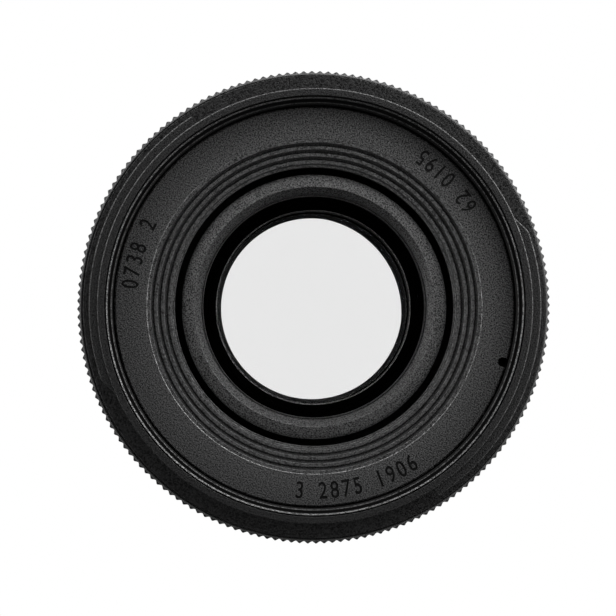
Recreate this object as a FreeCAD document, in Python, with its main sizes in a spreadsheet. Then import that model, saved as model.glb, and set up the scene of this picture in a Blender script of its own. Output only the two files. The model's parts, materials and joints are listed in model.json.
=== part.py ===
import FreeCAD, Part
import math
import os
import Sketcher

# A 50 mm f/1.8 autofocus prime lens. Millimetres and degrees. +Z runs along the optical axis to
# the subject, the origin is the centre of the bayonet flange face, +Y is the index dot and +X
# is the side with the AF/MF switch. At rest the lens is focused at infinity with its iris open.

SIZES = [
    # Clearances
    ("running_gap", 0.08, "radial clearance of pieces that turn or slide in each other"),
    ("loose_gap", 0.1, "clearance round pieces that drop into a pocket"),
    ("ring_gap", 0.3, "gap seen between the outer rings"),
    ("glass_gap", 0.05, "clearance of the glass in its bores"),
    ("over_cut", 1.0, "how far cuts reach beyond what they cut"),
    # Bayonet mount, from the throat outward
    ("throat_radius", 19.8, "bore of the bayonet"),
    ("bayonet_wall", 1.9, "bayonet tube"),
    ("bayonet_radius", "throat_radius + bayonet_wall", "outside of the bayonet tube"),
    ("bayonet_depth", 4.6, "bayonet tube behind the flange"),
    ("bayonet_lug_rise", 1.3, "three bayonet lugs above the tube"),
    ("bayonet_lug_radius", "bayonet_radius + bayonet_lug_rise", "three bayonet lugs"),
    ("bayonet_lug_thickness", 1.6, "three bayonet lugs"),
    ("bayonet_lug_depth", 2.4, "flange face to the front of a lug"),
    ("bayonet_lug_angle", 50.0, "angle of one lug"),
    ("baffle_rim", 1.2, "baffle flange beyond the bayonet tube"),
    ("baffle_flange_radius", "bayonet_radius + baffle_rim", "baffle flange"),
    ("foot_bore", "baffle_flange_radius + ring_gap", "bore of the foot that the mount is screwed to"),
    ("foot_height", 3.8, "foot"),
    ("mount_screw_inset", 2.5, "mount screws from the bore of the foot"),
    ("mount_screw_circle", "foot_bore + mount_screw_inset", "radius of the screw circle"),
    ("spigot_offset", 2.3, "step that centres the rear cover, from the screws"),
    ("spigot_radius", "mount_screw_circle + spigot_offset", "step that centres the rear cover"),
    ("spigot_height", 1.0, "step that centres the rear cover"),
    ("flange_rim", 1.3, "bayonet flange beyond its step"),
    ("flange_radius", "spigot_radius + flange_rim", "bayonet flange"),
    ("flange_thickness", 1.0, "bayonet flange"),
    ("mount_screw_azimuth", 45.0, "first of four screws"),
    ("lock_hole_azimuth", 205.0, "hole for the locking pin"),
    ("lock_hole_radius", 1.3, "hole for the locking pin"),
    ("screw_radius", 0.8, "shank of the M1.6 screws"),
    ("screw_head_radius", 1.3, "head of the M1.6 screws"),
    ("screw_head_height", 0.8, "head of the M1.6 screws"),
    ("screw_length", 6.5, "shank of the M1.6 screws"),
    ("small_screw_radius", 0.6, "shank of the M1.2 screws"),
    ("small_screw_head_radius", 1.0, "head of the M1.2 screws"),
    ("small_screw_head_height", 0.6, "head of the M1.2 screws"),
    ("small_screw_length", 2.0, "shank of the M1.2 screws"),
    ("head_sink", 0.3, "mount screw heads below the flange face"),
    # Electrical contacts
    ("contact_azimuth", 270.0, "middle of the contact row"),
    ("contact_angle", 70.0, "angle of the contact block"),
    ("contact_width", 2.2, "contact block inside the throat"),
    ("contact_inner_radius", "throat_radius - contact_width", "contact block"),
    ("contact_depth", 4.3, "rear face of the contact block"),
    ("contact_ear_width", 3.0, "flange of the contact block beyond the throat"),
    ("contact_ear_radius", "throat_radius + contact_ear_width", "flange of the contact block"),
    ("contact_ear_height", 1.0, "flange of the contact block"),
    ("contact_screw_inset", 1.5, "screws of the contact block from the throat"),
    ("contact_screw_circle", "throat_radius + contact_screw_inset", "screws of the contact block"),
    ("contact_screw_angle", 50.0, "angle between its two screws"),
    ("pad_count", 10, "gold contact pads"),
    ("pad_angle", 6.0, "angle between pads"),
    ("pad_width", 1.0, "one pad"),
    ("pad_length", 1.4, "one pad, radially"),
    ("pad_proud", 0.2, "pad above the block"),
    # Rear baffle
    ("baffle_wall", 0.8, "tube and flange"),
    ("baffle_bore", "contact_inner_radius - 2 * loose_gap - baffle_wall", "opening for the light"),
    ("baffle_depth", 3.6, "tube behind the flange face"),
    # Optics, from the bore of the rear groups outward
    ("group_bore", 15.4, "bore for the glass behind the front element"),
    ("front_seat_step", 1.25, "the front element's bore is wider by this"),
    ("front_seat_radius", "group_bore + front_seat_step", "bore for the front element"),
    ("lip_width", 0.8, "lip round the light opening"),
    ("lip_bore", "group_bore - lip_width", "light opening in the cup's front wall"),
    ("polish_margin", 1.5, "rim round the concave faces"),
    ("clear_radius", "group_bore - polish_margin", "polished radius of the concave faces"),
    ("element_1_front", 36.0, "radius of curvature"),
    ("element_1_rear", 60.0, "radius of curvature"),
    ("element_2_front", 32.0, "radius of curvature"),
    ("front_joint", 80.0, "radius of curvature"),
    ("element_3_rear", 45.0, "radius of curvature"),
    ("element_4_front", 28.0, "radius of curvature"),
    ("rear_joint", 60.0, "radius of curvature"),
    ("element_5_rear", 32.0, "radius of curvature"),
    ("element_6_front", 70.0, "radius of curvature"),
    ("element_6_rear", 50.0, "radius of curvature"),
    ("glass_stock", 10.0, "spare length of the glass before its faces are ground"),
    # Front bezel and lens barrel
    ("barrel_wall", 2.15, "front tube of the lens barrel"),
    ("barrel_radius", "front_seat_radius + barrel_wall", "front tube of the lens barrel"),
    ("bezel_overhang", 0.25, "bezel beyond the front tube"),
    ("bezel_radius", "barrel_radius + bezel_overhang", "outside of the bezel"),
    ("bezel_crest_offset", 0.6, "crest from the front element's bore"),
    ("bezel_crest_radius", "front_seat_radius + bezel_crest_offset", "crest of the bezel"),
    ("bezel_lip", 0.62, "bezel inside the front element's bore"),
    ("bezel_bore", "front_seat_radius - bezel_lip", "inside of the bezel"),
    ("bezel_inner_drop", 1.7, "crest to the inner edge"),
    ("bezel_outer_drop", 0.9, "crest to the outer edge"),
    # Iris, from the light opening outward
    ("stop_margin", 1.55, "the full opening is narrower than the glass bore by this"),
    ("stop_radius", "group_bore - stop_margin", "full opening"),
    ("smallest_stop", 1.3, "opening at the smallest aperture"),
    ("iris_seat", 0.25, "step that the iris base sits on"),
    ("base_thickness", 0.8, "iris base"),
    ("blade_rest", 0.25, "open blades outside the full opening"),
    ("blade_inner", "stop_radius + blade_rest", "inner edge of a blade"),
    ("blade_width", 6.2, "leaf of a blade"),
    ("blade_outer", "blade_inner + blade_width", "outer edge of a blade"),
    ("blade_angle", 119.0, "angle of a blade"),
    ("blade_thickness", 0.12, "blade"),
    ("blade_pitch", 0.2, "height from blade to blade"),
    ("blade_count", 7, "blades"),
    ("pivot_offset", 0.8, "pivots outside the leaf"),
    ("pivot_circle", "blade_outer + pivot_offset", "pivots of the blades"),
    ("pivot_rim", 1.9, "rim of the iris outside the pivots"),
    ("iris_radius", "pivot_circle + pivot_rim", "bore that the cam ring turns in"),
    ("pin_radius", 0.4, "pivot and cam pins"),
    ("cam_arm", 4.2, "pivot to cam pin"),
    ("cam_arm_azimuth", 95.0, "angle at the pivot between the axis and the cam pin"),
    ("tab_width", 2.5, "tab that carries the pins"),
    ("tab_margin", 2.2, "angle of the tab beyond its pins"),
    ("cam_turn", 22.0, "angle of the cam ring from open to closed"),
    ("cam_ring_margin", 2.15, "bore of the cam ring outside the full opening"),
    ("cam_ring_bore", "stop_radius + cam_ring_margin", "cam ring"),
    ("cam_ring_thickness", 0.8, "cam ring"),
    ("iris_cover_thickness", 0.4, "iris cover"),
    ("iris_cover_margin", 0.35, "bore of the cover outside the full opening"),
    ("iris_cover_bore", "stop_radius + iris_cover_margin", "iris cover"),
    ("pinion_teeth", 10, "teeth of the pinion"),
    ("sector_teeth", 156, "teeth that a full turn of the cam ring's sector would have"),
    ("sector_rise", 0.4, "pitch line of the sector outside the cam ring's bore"),
    ("sector_radius", "iris_radius + sector_rise", "pitch radius of the cam ring's sector"),
    ("pinion_radius", "sector_radius * pinion_teeth / sector_teeth", "pitch radius of the pinion"),
    ("pinion_addendum", 0.3, "teeth of the pinion beyond the pitch line"),
    ("sector_addendum", 0.15, "teeth of the sector beyond the pitch line"),
    ("tooth_clearance", 0.06, "tip of a gear tooth to the root that it runs in"),
    ("backlash", 0.03, "both flanks of a gear tooth together are thinner by this"),
    ("sector_margin", 6.0, "angle of the sector's window beyond the cam ring's turn"),
    ("iris_motor_radius", 3.0, "iris motor"),
    ("iris_motor_length", 8.4, "iris motor"),
    ("iris_shaft_seat", 2.0, "depth of the shaft in the iris motor"),
    ("iris_azimuth", 0.0, "iris motor"),
    # Lens barrel: the cup round the iris, and what guides it
    ("cup_wall", 0.85, "iris cup"),
    ("cup_radius", "iris_radius + iris_seat + cup_wall", "outside of the iris cup"),
    ("cup_length", 7.2, "iris cup"),
    ("cup_face", 1.0, "front wall of the iris cup"),
    ("rod_offset", 2.4, "rods outside the iris cup"),
    ("rod_circle", "cup_radius + rod_offset", "distance of the rods from the axis"),
    ("rod_radius", 1.0, "guide rods"),
    ("rod_azimuth", 90.0, "main rod"),
    ("sleeve_radius", 2.3, "sleeve on the main rod"),
    ("sleeve_length", 13.0, "sleeve on the main rod"),
    ("sleeve_rise", 5.76, "front end of the sleeve above the cup's rear edge"),
    ("bushing_wall", 0.45, "bushings of the main rod"),
    ("bushing_length", 3.0, "bushings of the main rod"),
    ("fork_rise", 2.0, "fork above the cup's rear edge"),
    ("fork_height", 3.0, "fork on the second rod"),
    ("arm_height", 3.0, "arm that holds the drive nut"),
    ("ear_height", 1.2, "ear that holds the iris motor"),
    ("focus_travel", 7.3, "infinity to the closest distance"),
    # Focus drive
    ("drive_azimuth", 180.0, "lead screw and motor"),
    ("drive_offset", 1.9, "lead screw outside the iris cup"),
    ("drive_circle", "cup_radius + drive_offset", "distance of the lead screw from the axis"),
    ("lead_screw_radius", 0.8, "lead screw"),
    ("lead_screw_lead", 1.0, "advance of one turn"),
    ("motor_radius", 3.5, "focus motor"),
    ("motor_length", 10.6, "focus motor"),
    ("motor_seat", 3.6, "depth of the screw in the motor"),
    ("motor_gap", 0.4, "focus motor to the wall of the frame"),
    ("nut_radius", 1.8, "drive nut"),
    ("nut_rim", 0.5, "flange of the drive nut, and the arm round it"),
    ("nut_length", 5.0, "drive nut"),
    ("nut_flange", 0.8, "flange of the drive nut"),
    # Inner frame, as wide as the focus motor needs
    ("frame_wall", 1.2, "wall"),
    ("frame_bore", "drive_circle + motor_radius + motor_gap", "inside of the frame"),
    ("frame_radius", "frame_bore + frame_wall", "outside, under the focus ring"),
    ("spigot_rim", 1.0, "rear end of the frame beyond the mount's step"),
    ("frame_rear_radius", "spigot_radius + spigot_rim", "outside at the mount"),
    ("slope_height", 2.1, "height of the slope from the rear part to the front part"),
    ("step_room", 0.3, "slope of the frame below the focus motor"),
    ("frame_step", "chassis_height - motor_length - slope_height - cover_edge - step_room",
     "height where the rear part ends"),
    ("boss_width", 4.4, "screw bosses"),
    ("boss_azimuth", 45.0, "first of three screw bosses"),
    ("boss_height", 8.6, "screw bosses"),
    ("chassis_screw_inset", 2.5, "screws of the chassis plate from the frame's wall"),
    ("chassis_screw_circle", "frame_bore - chassis_screw_inset", "screws of the chassis plate"),
    ("front_screw_inset", 3.5, "screws of the front ring from the frame's wall"),
    ("front_screw_circle", "frame_bore - front_screw_inset", "screws that hold the front ring"),
    ("holder_thickness", 1.4, "rod holder"),
    ("holder_gap", 0.8, "bore of the rod holder outside the iris cup"),
    ("holder_bore", "cup_radius + holder_gap", "rod holder"),
    # Main board
    ("board_inset", 2.4, "bore of the main board outside the baffle's bore"),
    ("board_bore", "baffle_bore + board_inset", "main board"),
    ("board_thickness", 0.8, "main board"),
    ("board_screw_inset", 2.6, "screws of the main board from the bore of the foot"),
    ("board_screw_circle", "foot_bore + board_screw_inset", "radius of its screw circle"),
    ("board_screw_azimuth", 97.0, "first of its three screws"),
    ("board_notch", 3.0, "notch for the contact leads"),
    ("chip_height", 1.0, "chips"),
    ("chip_inset", 4.0, "circle of chips from the bore of the board"),
    ("chip_circle", "board_bore + chip_inset", "radius of the circle of chips"),
    # Rear cover and index dot
    ("cover_length", 34.7, "flange to the front edge"),
    ("cover_front", "flange_thickness + cover_length", "front edge"),
    ("cover_gap", 0.25, "rear cover round the frame"),
    ("cover_wall", 2.05, "wall of the straight part"),
    ("cover_bore", "frame_radius + cover_gap", "inside of the straight part"),
    ("cover_radius", "cover_bore + cover_wall", "outside of the straight part"),
    ("cover_rim", 1.5, "rear end of the cover beyond the flange"),
    ("cover_rear_radius", "flange_radius + cover_rim", "outside at the mount"),
    ("taper_rise", 1.0, "end of the taper above the frame's step"),
    ("cover_taper_end", "frame_step + taper_rise", "height where the taper ends"),
    ("cover_edge", 0.5, "bevel of its edges"),
    ("dot_radius", 1.2, "index dot"),
    ("dot_height", 6.0, "height of the index dot"),
    ("dot_rise", 0.2, "floor of the dot's pocket beyond the cover's rear end"),
    ("dot_floor", "cover_rear_radius + dot_rise", "floor of the dot's pocket, from the axis"),
    ("dot_thickness", 0.75, "index dot"),
    # Focus ring
    ("focus_ring_length", 26.0, "focus ring"),
    ("focus_ring_rear", "cover_front + ring_gap", "rear edge above the flange"),
    ("focus_ring_wall", 3.02, "running land to the tips of the teeth"),
    ("tooth_tip_radius", "frame_radius + running_gap + focus_ring_wall", "teeth of the focus ring"),
    ("tooth_depth", 0.42, "teeth of the focus ring"),
    ("tooth_count", 180, "teeth of the focus ring"),
    ("tooth_land", 0.2, "flat on each tooth"),
    ("grip_start", 4.0, "plain band behind the teeth"),
    ("ring_bevel", 0.6, "bevel of the focus ring's front edge"),
    ("land_width", 2.5, "running lands inside the focus ring"),
    ("land_relief", 0.8, "depth between the lands"),
    ("strip_height", 6.0, "encoder strip"),
    ("strip_thickness", 0.25, "encoder strip"),
    ("strip_offset", 8.0, "encoder strip from the ring's rear edge"),
    ("reader_azimuth", 123.0, "middle of the two ring sensors"),
    ("reader_angle", 8.0, "angle between them"),
    ("reader_width", 3.0, "one ring sensor"),
    ("reader_height", 4.0, "one ring sensor"),
    ("flex_thickness", 0.12, "flexible circuit"),
    ("flex_foot", 1.0, "end of the flexible circuit on the main board"),
    ("flex_angle", 8.0, "angle of the flexible circuit"),
    # Front ring and name plate
    ("thread_radius", 28.6, "inside of the M58 x 0.75 filter thread"),
    ("thread_relief", 0.4, "groove behind the thread, round the name plate"),
    ("lip_bevel", 0.7, "bevel into the thread"),
    ("lip_bevel_depth", 0.9, "end of the bevel behind the lip"),
    ("lip_step", 0.2, "step inside the front face"),
    ("lip_step_depth", 0.35, "step behind the lip"),
    ("lip_step_radius", "thread_radius + lip_bevel", "front end of the bevel"),
    ("lip_radius", "lip_step_radius + lip_step", "front face inside"),
    ("lip_land", 1.03, "front face"),
    ("lip_edge", 0.15, "chamfers of the front face and of the hood lugs"),
    ("front_radius", "lip_radius + lip_land", "front face outside"),
    ("front_ring_wall", 2.2, "rear edge of the front ring beyond the frame"),
    ("front_ring_radius", "frame_radius + front_ring_wall", "rear edge of the front ring"),
    ("shoulder_taper", 0.5, "shoulder narrower than the rear edge by this"),
    ("shoulder_radius", "front_ring_radius - shoulder_taper", "shoulder"),
    ("shoulder_depth", 4.5, "shoulder behind the hood bayonet"),
    ("hood_lug_rise", 1.2, "hood bayonet lugs beyond the front ring"),
    ("hood_lug_radius", "front_radius + hood_lug_rise", "hood bayonet lugs"),
    ("hood_lug_depth", 0.4, "front of the lugs behind the lip"),
    ("hood_lug_thickness", 1.4, "hood bayonet lugs"),
    ("hood_lug_angle", 81.0, "angle of one lug"),
    ("hood_ramp", 2.6, "slanted end of a lug"),
    ("plate_depth", 5.0, "name plate behind the lip"),
    ("plate_wall", 1.3, "name plate"),
    ("plate_rebate", 0.25, "rebate round the name plate's front"),
    ("plate_rebate_depth", 0.7, "rebate round the name plate's front"),
    ("plate_ledge", 1.0, "ledge that carries the name plate"),
    ("plate_radius", "thread_radius - loose_gap", "name plate"),
    ("plate_gap", 0.95, "opening of the name plate round the bezel"),
    ("plate_bore", "bezel_radius + plate_gap", "opening of the name plate"),
    ("step_count", 4, "steps down from the flat to the opening"),
    ("step_pitch", 0.95, "radial distance of the steps"),
    ("step_groove", 0.3, "groove outside each step, and the land round the opening"),
    ("step_slant", 0.18, "slant that rises from a groove to the next step"),
    ("step_drop", 0.6, "one step below the next"),
    ("step_groove_depth", 0.35, "groove below its step"),
    ("flat_step", 0.1, "outermost step below the flat"),
    ("plate_flat_radius", "plate_bore + step_count * step_pitch + step_slant / 2",
     "inner edge of the flat"),
    ("plate_drop", "flat_step + step_count * step_drop", "opening's edge below the flat"),
    ("key_notch_radius", 0.67, "round end of the notch in the name plate's edge"),
    ("key_notch_depth", 1.3, "notch in the name plate's edge"),
    ("head_room", 0.4, "clearance round the heads of the front ring's screws"),
    ("web_room", 3.2, "screwed web behind the name plate's ledge"),
    ("web_depth", "plate_depth + plate_wall + plate_ledge + web_room", "screwed web behind the lip"),
    ("web_thickness", 1.5, "screwed web"),
    ("skirt_step", 0.8, "rear edge of the front ring before the screwed web"),
    ("front_ring_depth", "web_depth - skirt_step", "rear edge of the front ring behind the lip"),
    ("lens_length", "focus_ring_rear + focus_ring_length + ring_gap + front_ring_depth",
     "flange face to front lip"),
    # Depths of the optics behind the lip, from the front backward
    ("bezel_crest_depth", 8.0, "crest of the bezel behind the lip"),
    ("bezel_height", 2.4, "crest to the front end of the lens barrel"),
    ("barrel_depth", "bezel_crest_depth + bezel_height", "front end of the lens barrel"),
    ("element_1_sink", 2.6, "edge of the front element below the barrel's end"),
    ("element_1_edge", "barrel_depth + element_1_sink", "its front edge"),
    ("element_1_rim", 2.0, "edge of the front element"),
    ("front_seat_depth", "element_1_edge + element_1_rim", "seat of the front element"),
    ("spacer_length", 4.5, "seat of the front element to the edge of the next"),
    ("element_2_edge", "front_seat_depth + spacer_length", "its front edge"),
    ("element_2_rim", 2.2, "its edge"),
    ("front_joint_edge", "element_2_edge + element_2_rim", "edge of the cemented joint"),
    ("element_3_rim", 2.7, "its edge"),
    ("cup_depth", "front_joint_edge + element_3_rim", "front face of the iris cup"),
    ("element_4_rise", 0.6, "front edge of the fourth element above the cup's rear edge"),
    ("element_4_edge", "cup_depth + cup_length - element_4_rise", "its front edge"),
    ("element_4_rim", 3.0, "its edge"),
    ("rear_joint_edge", "element_4_edge + element_4_rim", "edge of the cemented joint"),
    ("element_5_rim", 5.5, "its edge"),
    ("element_5_edge", "rear_joint_edge + element_5_rim", "its rear edge"),
    ("element_6_space", 7.0, "fifth element to the edge of the sixth"),
    ("element_6_edge", "element_5_edge + element_6_space", "its front edge"),
    ("element_6_thickness", 2.5, "thickness of its edge"),
    # Rear cell
    ("cell_wall", 1.8, "rear cell"),
    ("cell_radius", "group_bore + cell_wall", "rear cell"),
    ("cell_tail", 5.0, "rear cell behind the rear element's edge"),
    ("cell_depth", "element_6_edge + element_6_thickness + cell_tail", "rear end behind the lip"),
    ("cell_flange", 1.2, "flange of the rear cell"),
    ("cell_step", 0.7, "the rear element's bore is wider by this"),
    ("cell_rear_bore", "group_bore + cell_step", "bore for the rear element"),
    ("cell_seat", 0.9, "seat of the rear element"),
    ("cell_mid_bore", "cell_rear_bore - cell_seat", "bore between the rear groups"),
    ("cell_lip", 0.5, "lip that carries the cemented pair"),
    ("cell_lip_bore", "group_bore - cell_lip", "lip that carries the cemented pair"),
    ("cell_lip_height", 1.0, "lip that carries the cemented pair"),
    ("retainer_wall", 0.8, "rear retainer"),
    ("retainer_bore", "cell_rear_bore - retainer_wall", "rear retainer"),
    ("retainer_height", 2.3, "rear retainer"),
    # Chassis plate and home sensor, below the moving iris motor
    ("chassis_room", 5.0, "iris motor to the chassis plate with the focus at infinity"),
    ("chassis_thickness", 1.5, "chassis plate"),
    ("chassis_drop", "cup_depth + cup_length + iris_motor_length + chassis_room + chassis_thickness",
     "rear face of the chassis plate behind the lip"),
    ("chassis_height", "lens_length - chassis_drop", "rear face of the chassis plate"),
    ("chassis_gap", 1.4, "bore of the chassis plate round the rear cell"),
    ("chassis_bore", "cell_radius + chassis_gap", "chassis plate"),
    ("sensor_azimuth", 135.0, "home sensor"),
    ("sensor_height", 6.0, "home sensor"),
    ("sensor_depth", 2.95, "home sensor, radially"),
    ("sensor_width", 4.0, "home sensor"),
    ("sensor_floor", 2.0, "floor of its slot"),
    ("vane_thickness", 0.5, "vane that the home sensor reads"),
    ("vane_reach", 1.0, "end of the vane beyond the iris motor"),
    ("vane_drop", "iris_motor_length + vane_reach", "vane below the iris cup"),
    # AF/MF switch, behind the chassis plate
    ("switch_body_length", 8.0, "along the lens"),
    ("switch_body_width", 5.0, "across the lens"),
    ("switch_body_depth", 2.8, "switch body"),
    ("switch_gap", 0.5, "switch body to the chassis plate"),
    ("switch_height", "chassis_height - switch_gap - switch_body_length / 2",
     "middle of the switch above the flange"),
    ("switch_plate_length", 12.0, "along the lens"),
    ("switch_plate_width", 9.4, "across the lens"),
    ("switch_floor", 0.65, "cover left below the plate's recess"),
    ("switch_plate_floor", "cover_bore + switch_floor", "floor of the recess, from the axis"),
    ("switch_plate_thickness", 0.9, "switch plate"),
    ("switch_travel", 2.5, "knob travel"),
    ("knob_length", 3.6, "along the lens"),
    ("knob_width", 3.0, "across the lens"),
    ("knob_height", 0.9, "knob above the plate"),
    ("knob_stem_length", 2.4, "stem through the plate"),
    ("knob_groove", 0.3, "three finger grooves"),
]


class Size(float):
    """A number together with the sheet expression that gives it."""

    def __new__(cls, value, text):
        size = float.__new__(cls, value)
        size.text = text
        return size

    def __add__(self, other):
        return Size(float(self) + float(other), "(%s + %s)" % (words(self), words(other)))

    def __radd__(self, other):
        return Size(float(other) + float(self), "(%s + %s)" % (words(other), words(self)))

    def __sub__(self, other):
        return Size(float(self) - float(other), "(%s - %s)" % (words(self), words(other)))

    def __rsub__(self, other):
        return Size(float(other) - float(self), "(%s - %s)" % (words(other), words(self)))

    def __mul__(self, other):
        return Size(float(self) * float(other), "(%s * %s)" % (words(self), words(other)))

    def __rmul__(self, other):
        return Size(float(other) * float(self), "(%s * %s)" % (words(other), words(self)))

    def __truediv__(self, other):
        return Size(float(self) / float(other), "(%s / %s)" % (words(self), words(other)))

    def __neg__(self):
        return Size(-float(self), "(0 - %s)" % words(self))


def words(value):
    """The expression of a size, or a plain number in brackets."""
    if isinstance(value, Size):
        return value.text
    return "(%s)" % repr(float(value))


def root(value):
    """Square root of a size."""
    return Size(math.sqrt(value), "sqrt(%s)" % words(value))


doc = FreeCAD.newDocument("PrimeLens")
sheet = doc.addObject("Spreadsheet::Sheet", "Sizes")


class Dimensions:
    """Every size of the sheet as an attribute."""


def fill_sheet():
    sizes = Dimensions()
    for number, (name, value, meaning) in enumerate(SIZES, start=1):
        sheet.set("A%d" % number, name)
        sheet.set("C%d" % number, meaning)
        sheet.setAlias("B%d" % number, name)
    for number, (name, value, meaning) in enumerate(SIZES, start=1):
        formula = isinstance(value, str)
        sheet.set("B%d" % number, "=" + value if formula else str(value))
    doc.recompute()
    for name, value, meaning in SIZES:
        setattr(sizes, name, Size(sheet.get(name), "Sizes." + name))
    return sizes


d = fill_sheet()
nodes = []


def bind(thing, field, value):
    """Bind one property to the sheet when the value comes from it."""
    if isinstance(value, Size):
        thing.setExpression(field, value.text)


def origin_item(body, role):
    return next(item for item in body.Origin.OriginFeatures if item.Role == role)


def new_body(label):
    body = doc.addObject("PartDesign::Body", label)
    body.Label = label
    body.AllowCompound = True
    body.Placement = FreeCAD.Placement()
    nodes.append(body)
    return body


def new_sketch(body, name, plane, height=0, azimuth=0):
    """A sketch on an origin plane, moved along its normal and turned about the optical axis."""
    sketch = body.newObject("Sketcher::SketchObject", body.Name + "_" + name)
    sketch.AttachmentSupport = (origin_item(body, plane), "")
    sketch.MapMode = "FlatFace"
    upright = FreeCAD.Vector(0, 0, 1)
    if plane == "XZ_Plane":
        upright = FreeCAD.Vector(0, 1, 0)
    offset = FreeCAD.Vector(0, 0, float(height))
    sketch.AttachmentOffset = FreeCAD.Placement(offset, FreeCAD.Rotation(upright, float(azimuth)))
    bind(sketch, "AttachmentOffset.Base.z", height)
    if float(azimuth) != 0:
        bind(sketch, "AttachmentOffset.Rotation.Angle", azimuth)
    return sketch


def fix(sketch, kind, element, point, value):
    """Hold one point of a sketch at a distance from the origin."""
    index = sketch.addConstraint(Sketcher.Constraint(kind, -1, 1, element, point, float(value)))
    bind(sketch, "Constraints[%d]" % index, value)


def outline(sketch, corners):
    """A closed outline of straight lines through the corners."""
    count = len(corners)
    for index in range(count):
        start = FreeCAD.Vector(corners[index][0], corners[index][1], 0)
        after = corners[(index + 1) % count]
        sketch.addGeometry(Part.LineSegment(start, FreeCAD.Vector(after[0], after[1], 0)), False)
    for index in range(count):
        sketch.addConstraint(Sketcher.Constraint("Coincident", index, 2, (index + 1) % count, 1))
    for index, (across, up) in enumerate(corners):
        fix(sketch, "DistanceX", index, 1, across)
        fix(sketch, "DistanceY", index, 1, up)


def circles(sketch, rounds):
    """Circles given as (across, up, radius)."""
    for index, (across, up, radius) in enumerate(rounds):
        centre = FreeCAD.Vector(across, up, 0)
        circle = Part.Circle(centre, FreeCAD.Vector(0, 0, 1), float(radius))
        sketch.addGeometry(circle, False)
        fix(sketch, "DistanceX", index, 3, across)
        fix(sketch, "DistanceY", index, 3, up)
        held = sketch.addConstraint(Sketcher.Constraint("Radius", index, float(radius)))
        bind(sketch, "Constraints[%d]" % held, radius)


def turned(body, name, corners, sweep=360, azimuth=0, cut=False):
    """Turn an outline of (radius, height) corners about the optical axis, or cut it away."""
    sketch = new_sketch(body, name + "_profile", "XZ_Plane", azimuth=azimuth)
    outline(sketch, corners)
    kind = "PartDesign::Groove" if cut else "PartDesign::Revolution"
    feature = body.newObject(kind, body.Name + "_" + name)
    feature.Profile = sketch
    feature.ReferenceAxis = (sketch, ["V_Axis"])
    feature.Angle = float(sweep)
    feature.Midplane = float(sweep) != 360
    bind(feature, "Angle", sweep)
    return feature


def raised(body, name, sketch, length, cut=False, both_ways=False):
    """Pad a sketch along its normal, or pocket it the other way."""
    kind = "PartDesign::Pocket" if cut else "PartDesign::Pad"
    feature = body.newObject(kind, body.Name + "_" + name)
    feature.Profile = sketch
    feature.Length = float(length)
    feature.Midplane = both_ways
    bind(feature, "Length", length)
    return feature


def posts(body, name, rounds, bottom, top, azimuth=0):
    """Round posts parallel to the optical axis."""
    sketch = new_sketch(body, name + "_circles", "XY_Plane", bottom, azimuth)
    circles(sketch, rounds)
    return raised(body, name, sketch, top - bottom)


def holes(body, name, rounds, bottom, top, azimuth=0):
    """Round holes parallel to the optical axis."""
    sketch = new_sketch(body, name + "_circles", "XY_Plane", top, azimuth)
    circles(sketch, rounds)
    return raised(body, name, sketch, top - bottom, cut=True)


def block(body, name, near, far, bottom, top, width, azimuth=0, cut=False):
    """A block between two distances from the axis and two heights, or its cut."""
    sketch = new_sketch(body, name + "_side", "XZ_Plane", azimuth=azimuth)
    outline(sketch, [(near, bottom), (far, bottom), (far, top), (near, top)])
    return raised(body, name, sketch, width, cut=cut, both_ways=True)


def around(body, name, features, count, angle=360):
    """Repeat features about the optical axis."""
    pattern = body.newObject("PartDesign::PolarPattern", body.Name + "_" + name)
    pattern.Originals = features
    pattern.Axis = (origin_item(body, "Z_Axis"), [""])
    pattern.Angle = float(angle)
    pattern.Occurrences = int(count)
    bind(pattern, "Angle", angle)
    bind(pattern, "Occurrences", count)
    body.Tip = pattern
    return pattern


def ring(label, inner, outer, bottom, top):
    """A plain ring."""
    body = new_body(label)
    turned(body, "ring", [(inner, bottom), (outer, bottom), (outer, top), (inner, top)])
    return body


def screws(label, circle, seat, azimuth, count, facing, head, shank, angle=360):
    """Screws on a circle. The head sits on the seat, and the shank points the other way."""
    head_radius, head_height = head
    shank_radius, shank_length = shank
    body = new_body(label)
    if facing > 0:
        low_head, high_head, low_shank, high_shank = seat, seat + head_height, seat - shank_length, seat
    else:
        low_head, high_head, low_shank, high_shank = seat - head_height, seat, seat, seat + shank_length
    heads = posts(body, "head", [(circle, 0, head_radius)], low_head, high_head, azimuth)
    shanks = posts(body, "shank", [(circle, 0, shank_radius)], low_shank, high_shank, azimuth)
    around(body, "pattern", [heads, shanks], count, angle)
    return body


# Heights that several pieces share.
mount_front = d.flange_thickness + d.spigot_height
foot_top = mount_front + d.foot_height
chassis_top = d.chassis_height + d.chassis_thickness
web_top = d.lens_length - d.web_depth
web_bottom = web_top - d.web_thickness
holder_bottom = web_bottom - d.holder_thickness
plate_top = d.lens_length - d.plate_depth
plate_bottom = plate_top - d.plate_wall
front_ring_rear = d.lens_length - d.front_ring_depth
focus_ring_front = front_ring_rear - d.ring_gap
cup_top = d.lens_length - d.cup_depth
cup_bottom = cup_top - d.cup_length
M16_HEAD = (d.screw_head_radius, d.screw_head_height)
M16_SHANK = (d.screw_radius, d.screw_length)
M12_HEAD = (d.small_screw_head_radius, d.small_screw_head_height)
M12_SHANK = (d.small_screw_radius, d.small_screw_length)

# Heights of the iris, from its cover at the front to its base at the rear.
iris_cover_bottom = cup_top - d.cup_face - d.iris_cover_thickness
cam_top = iris_cover_bottom - d.loose_gap
cam_bottom = cam_top - d.cam_ring_thickness
blade_stack = d.blade_pitch * d.blade_count
blades_bottom = cam_bottom - d.loose_gap - blade_stack
base_top = blades_bottom - d.loose_gap
base_bottom = base_top - d.base_thickness


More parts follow.
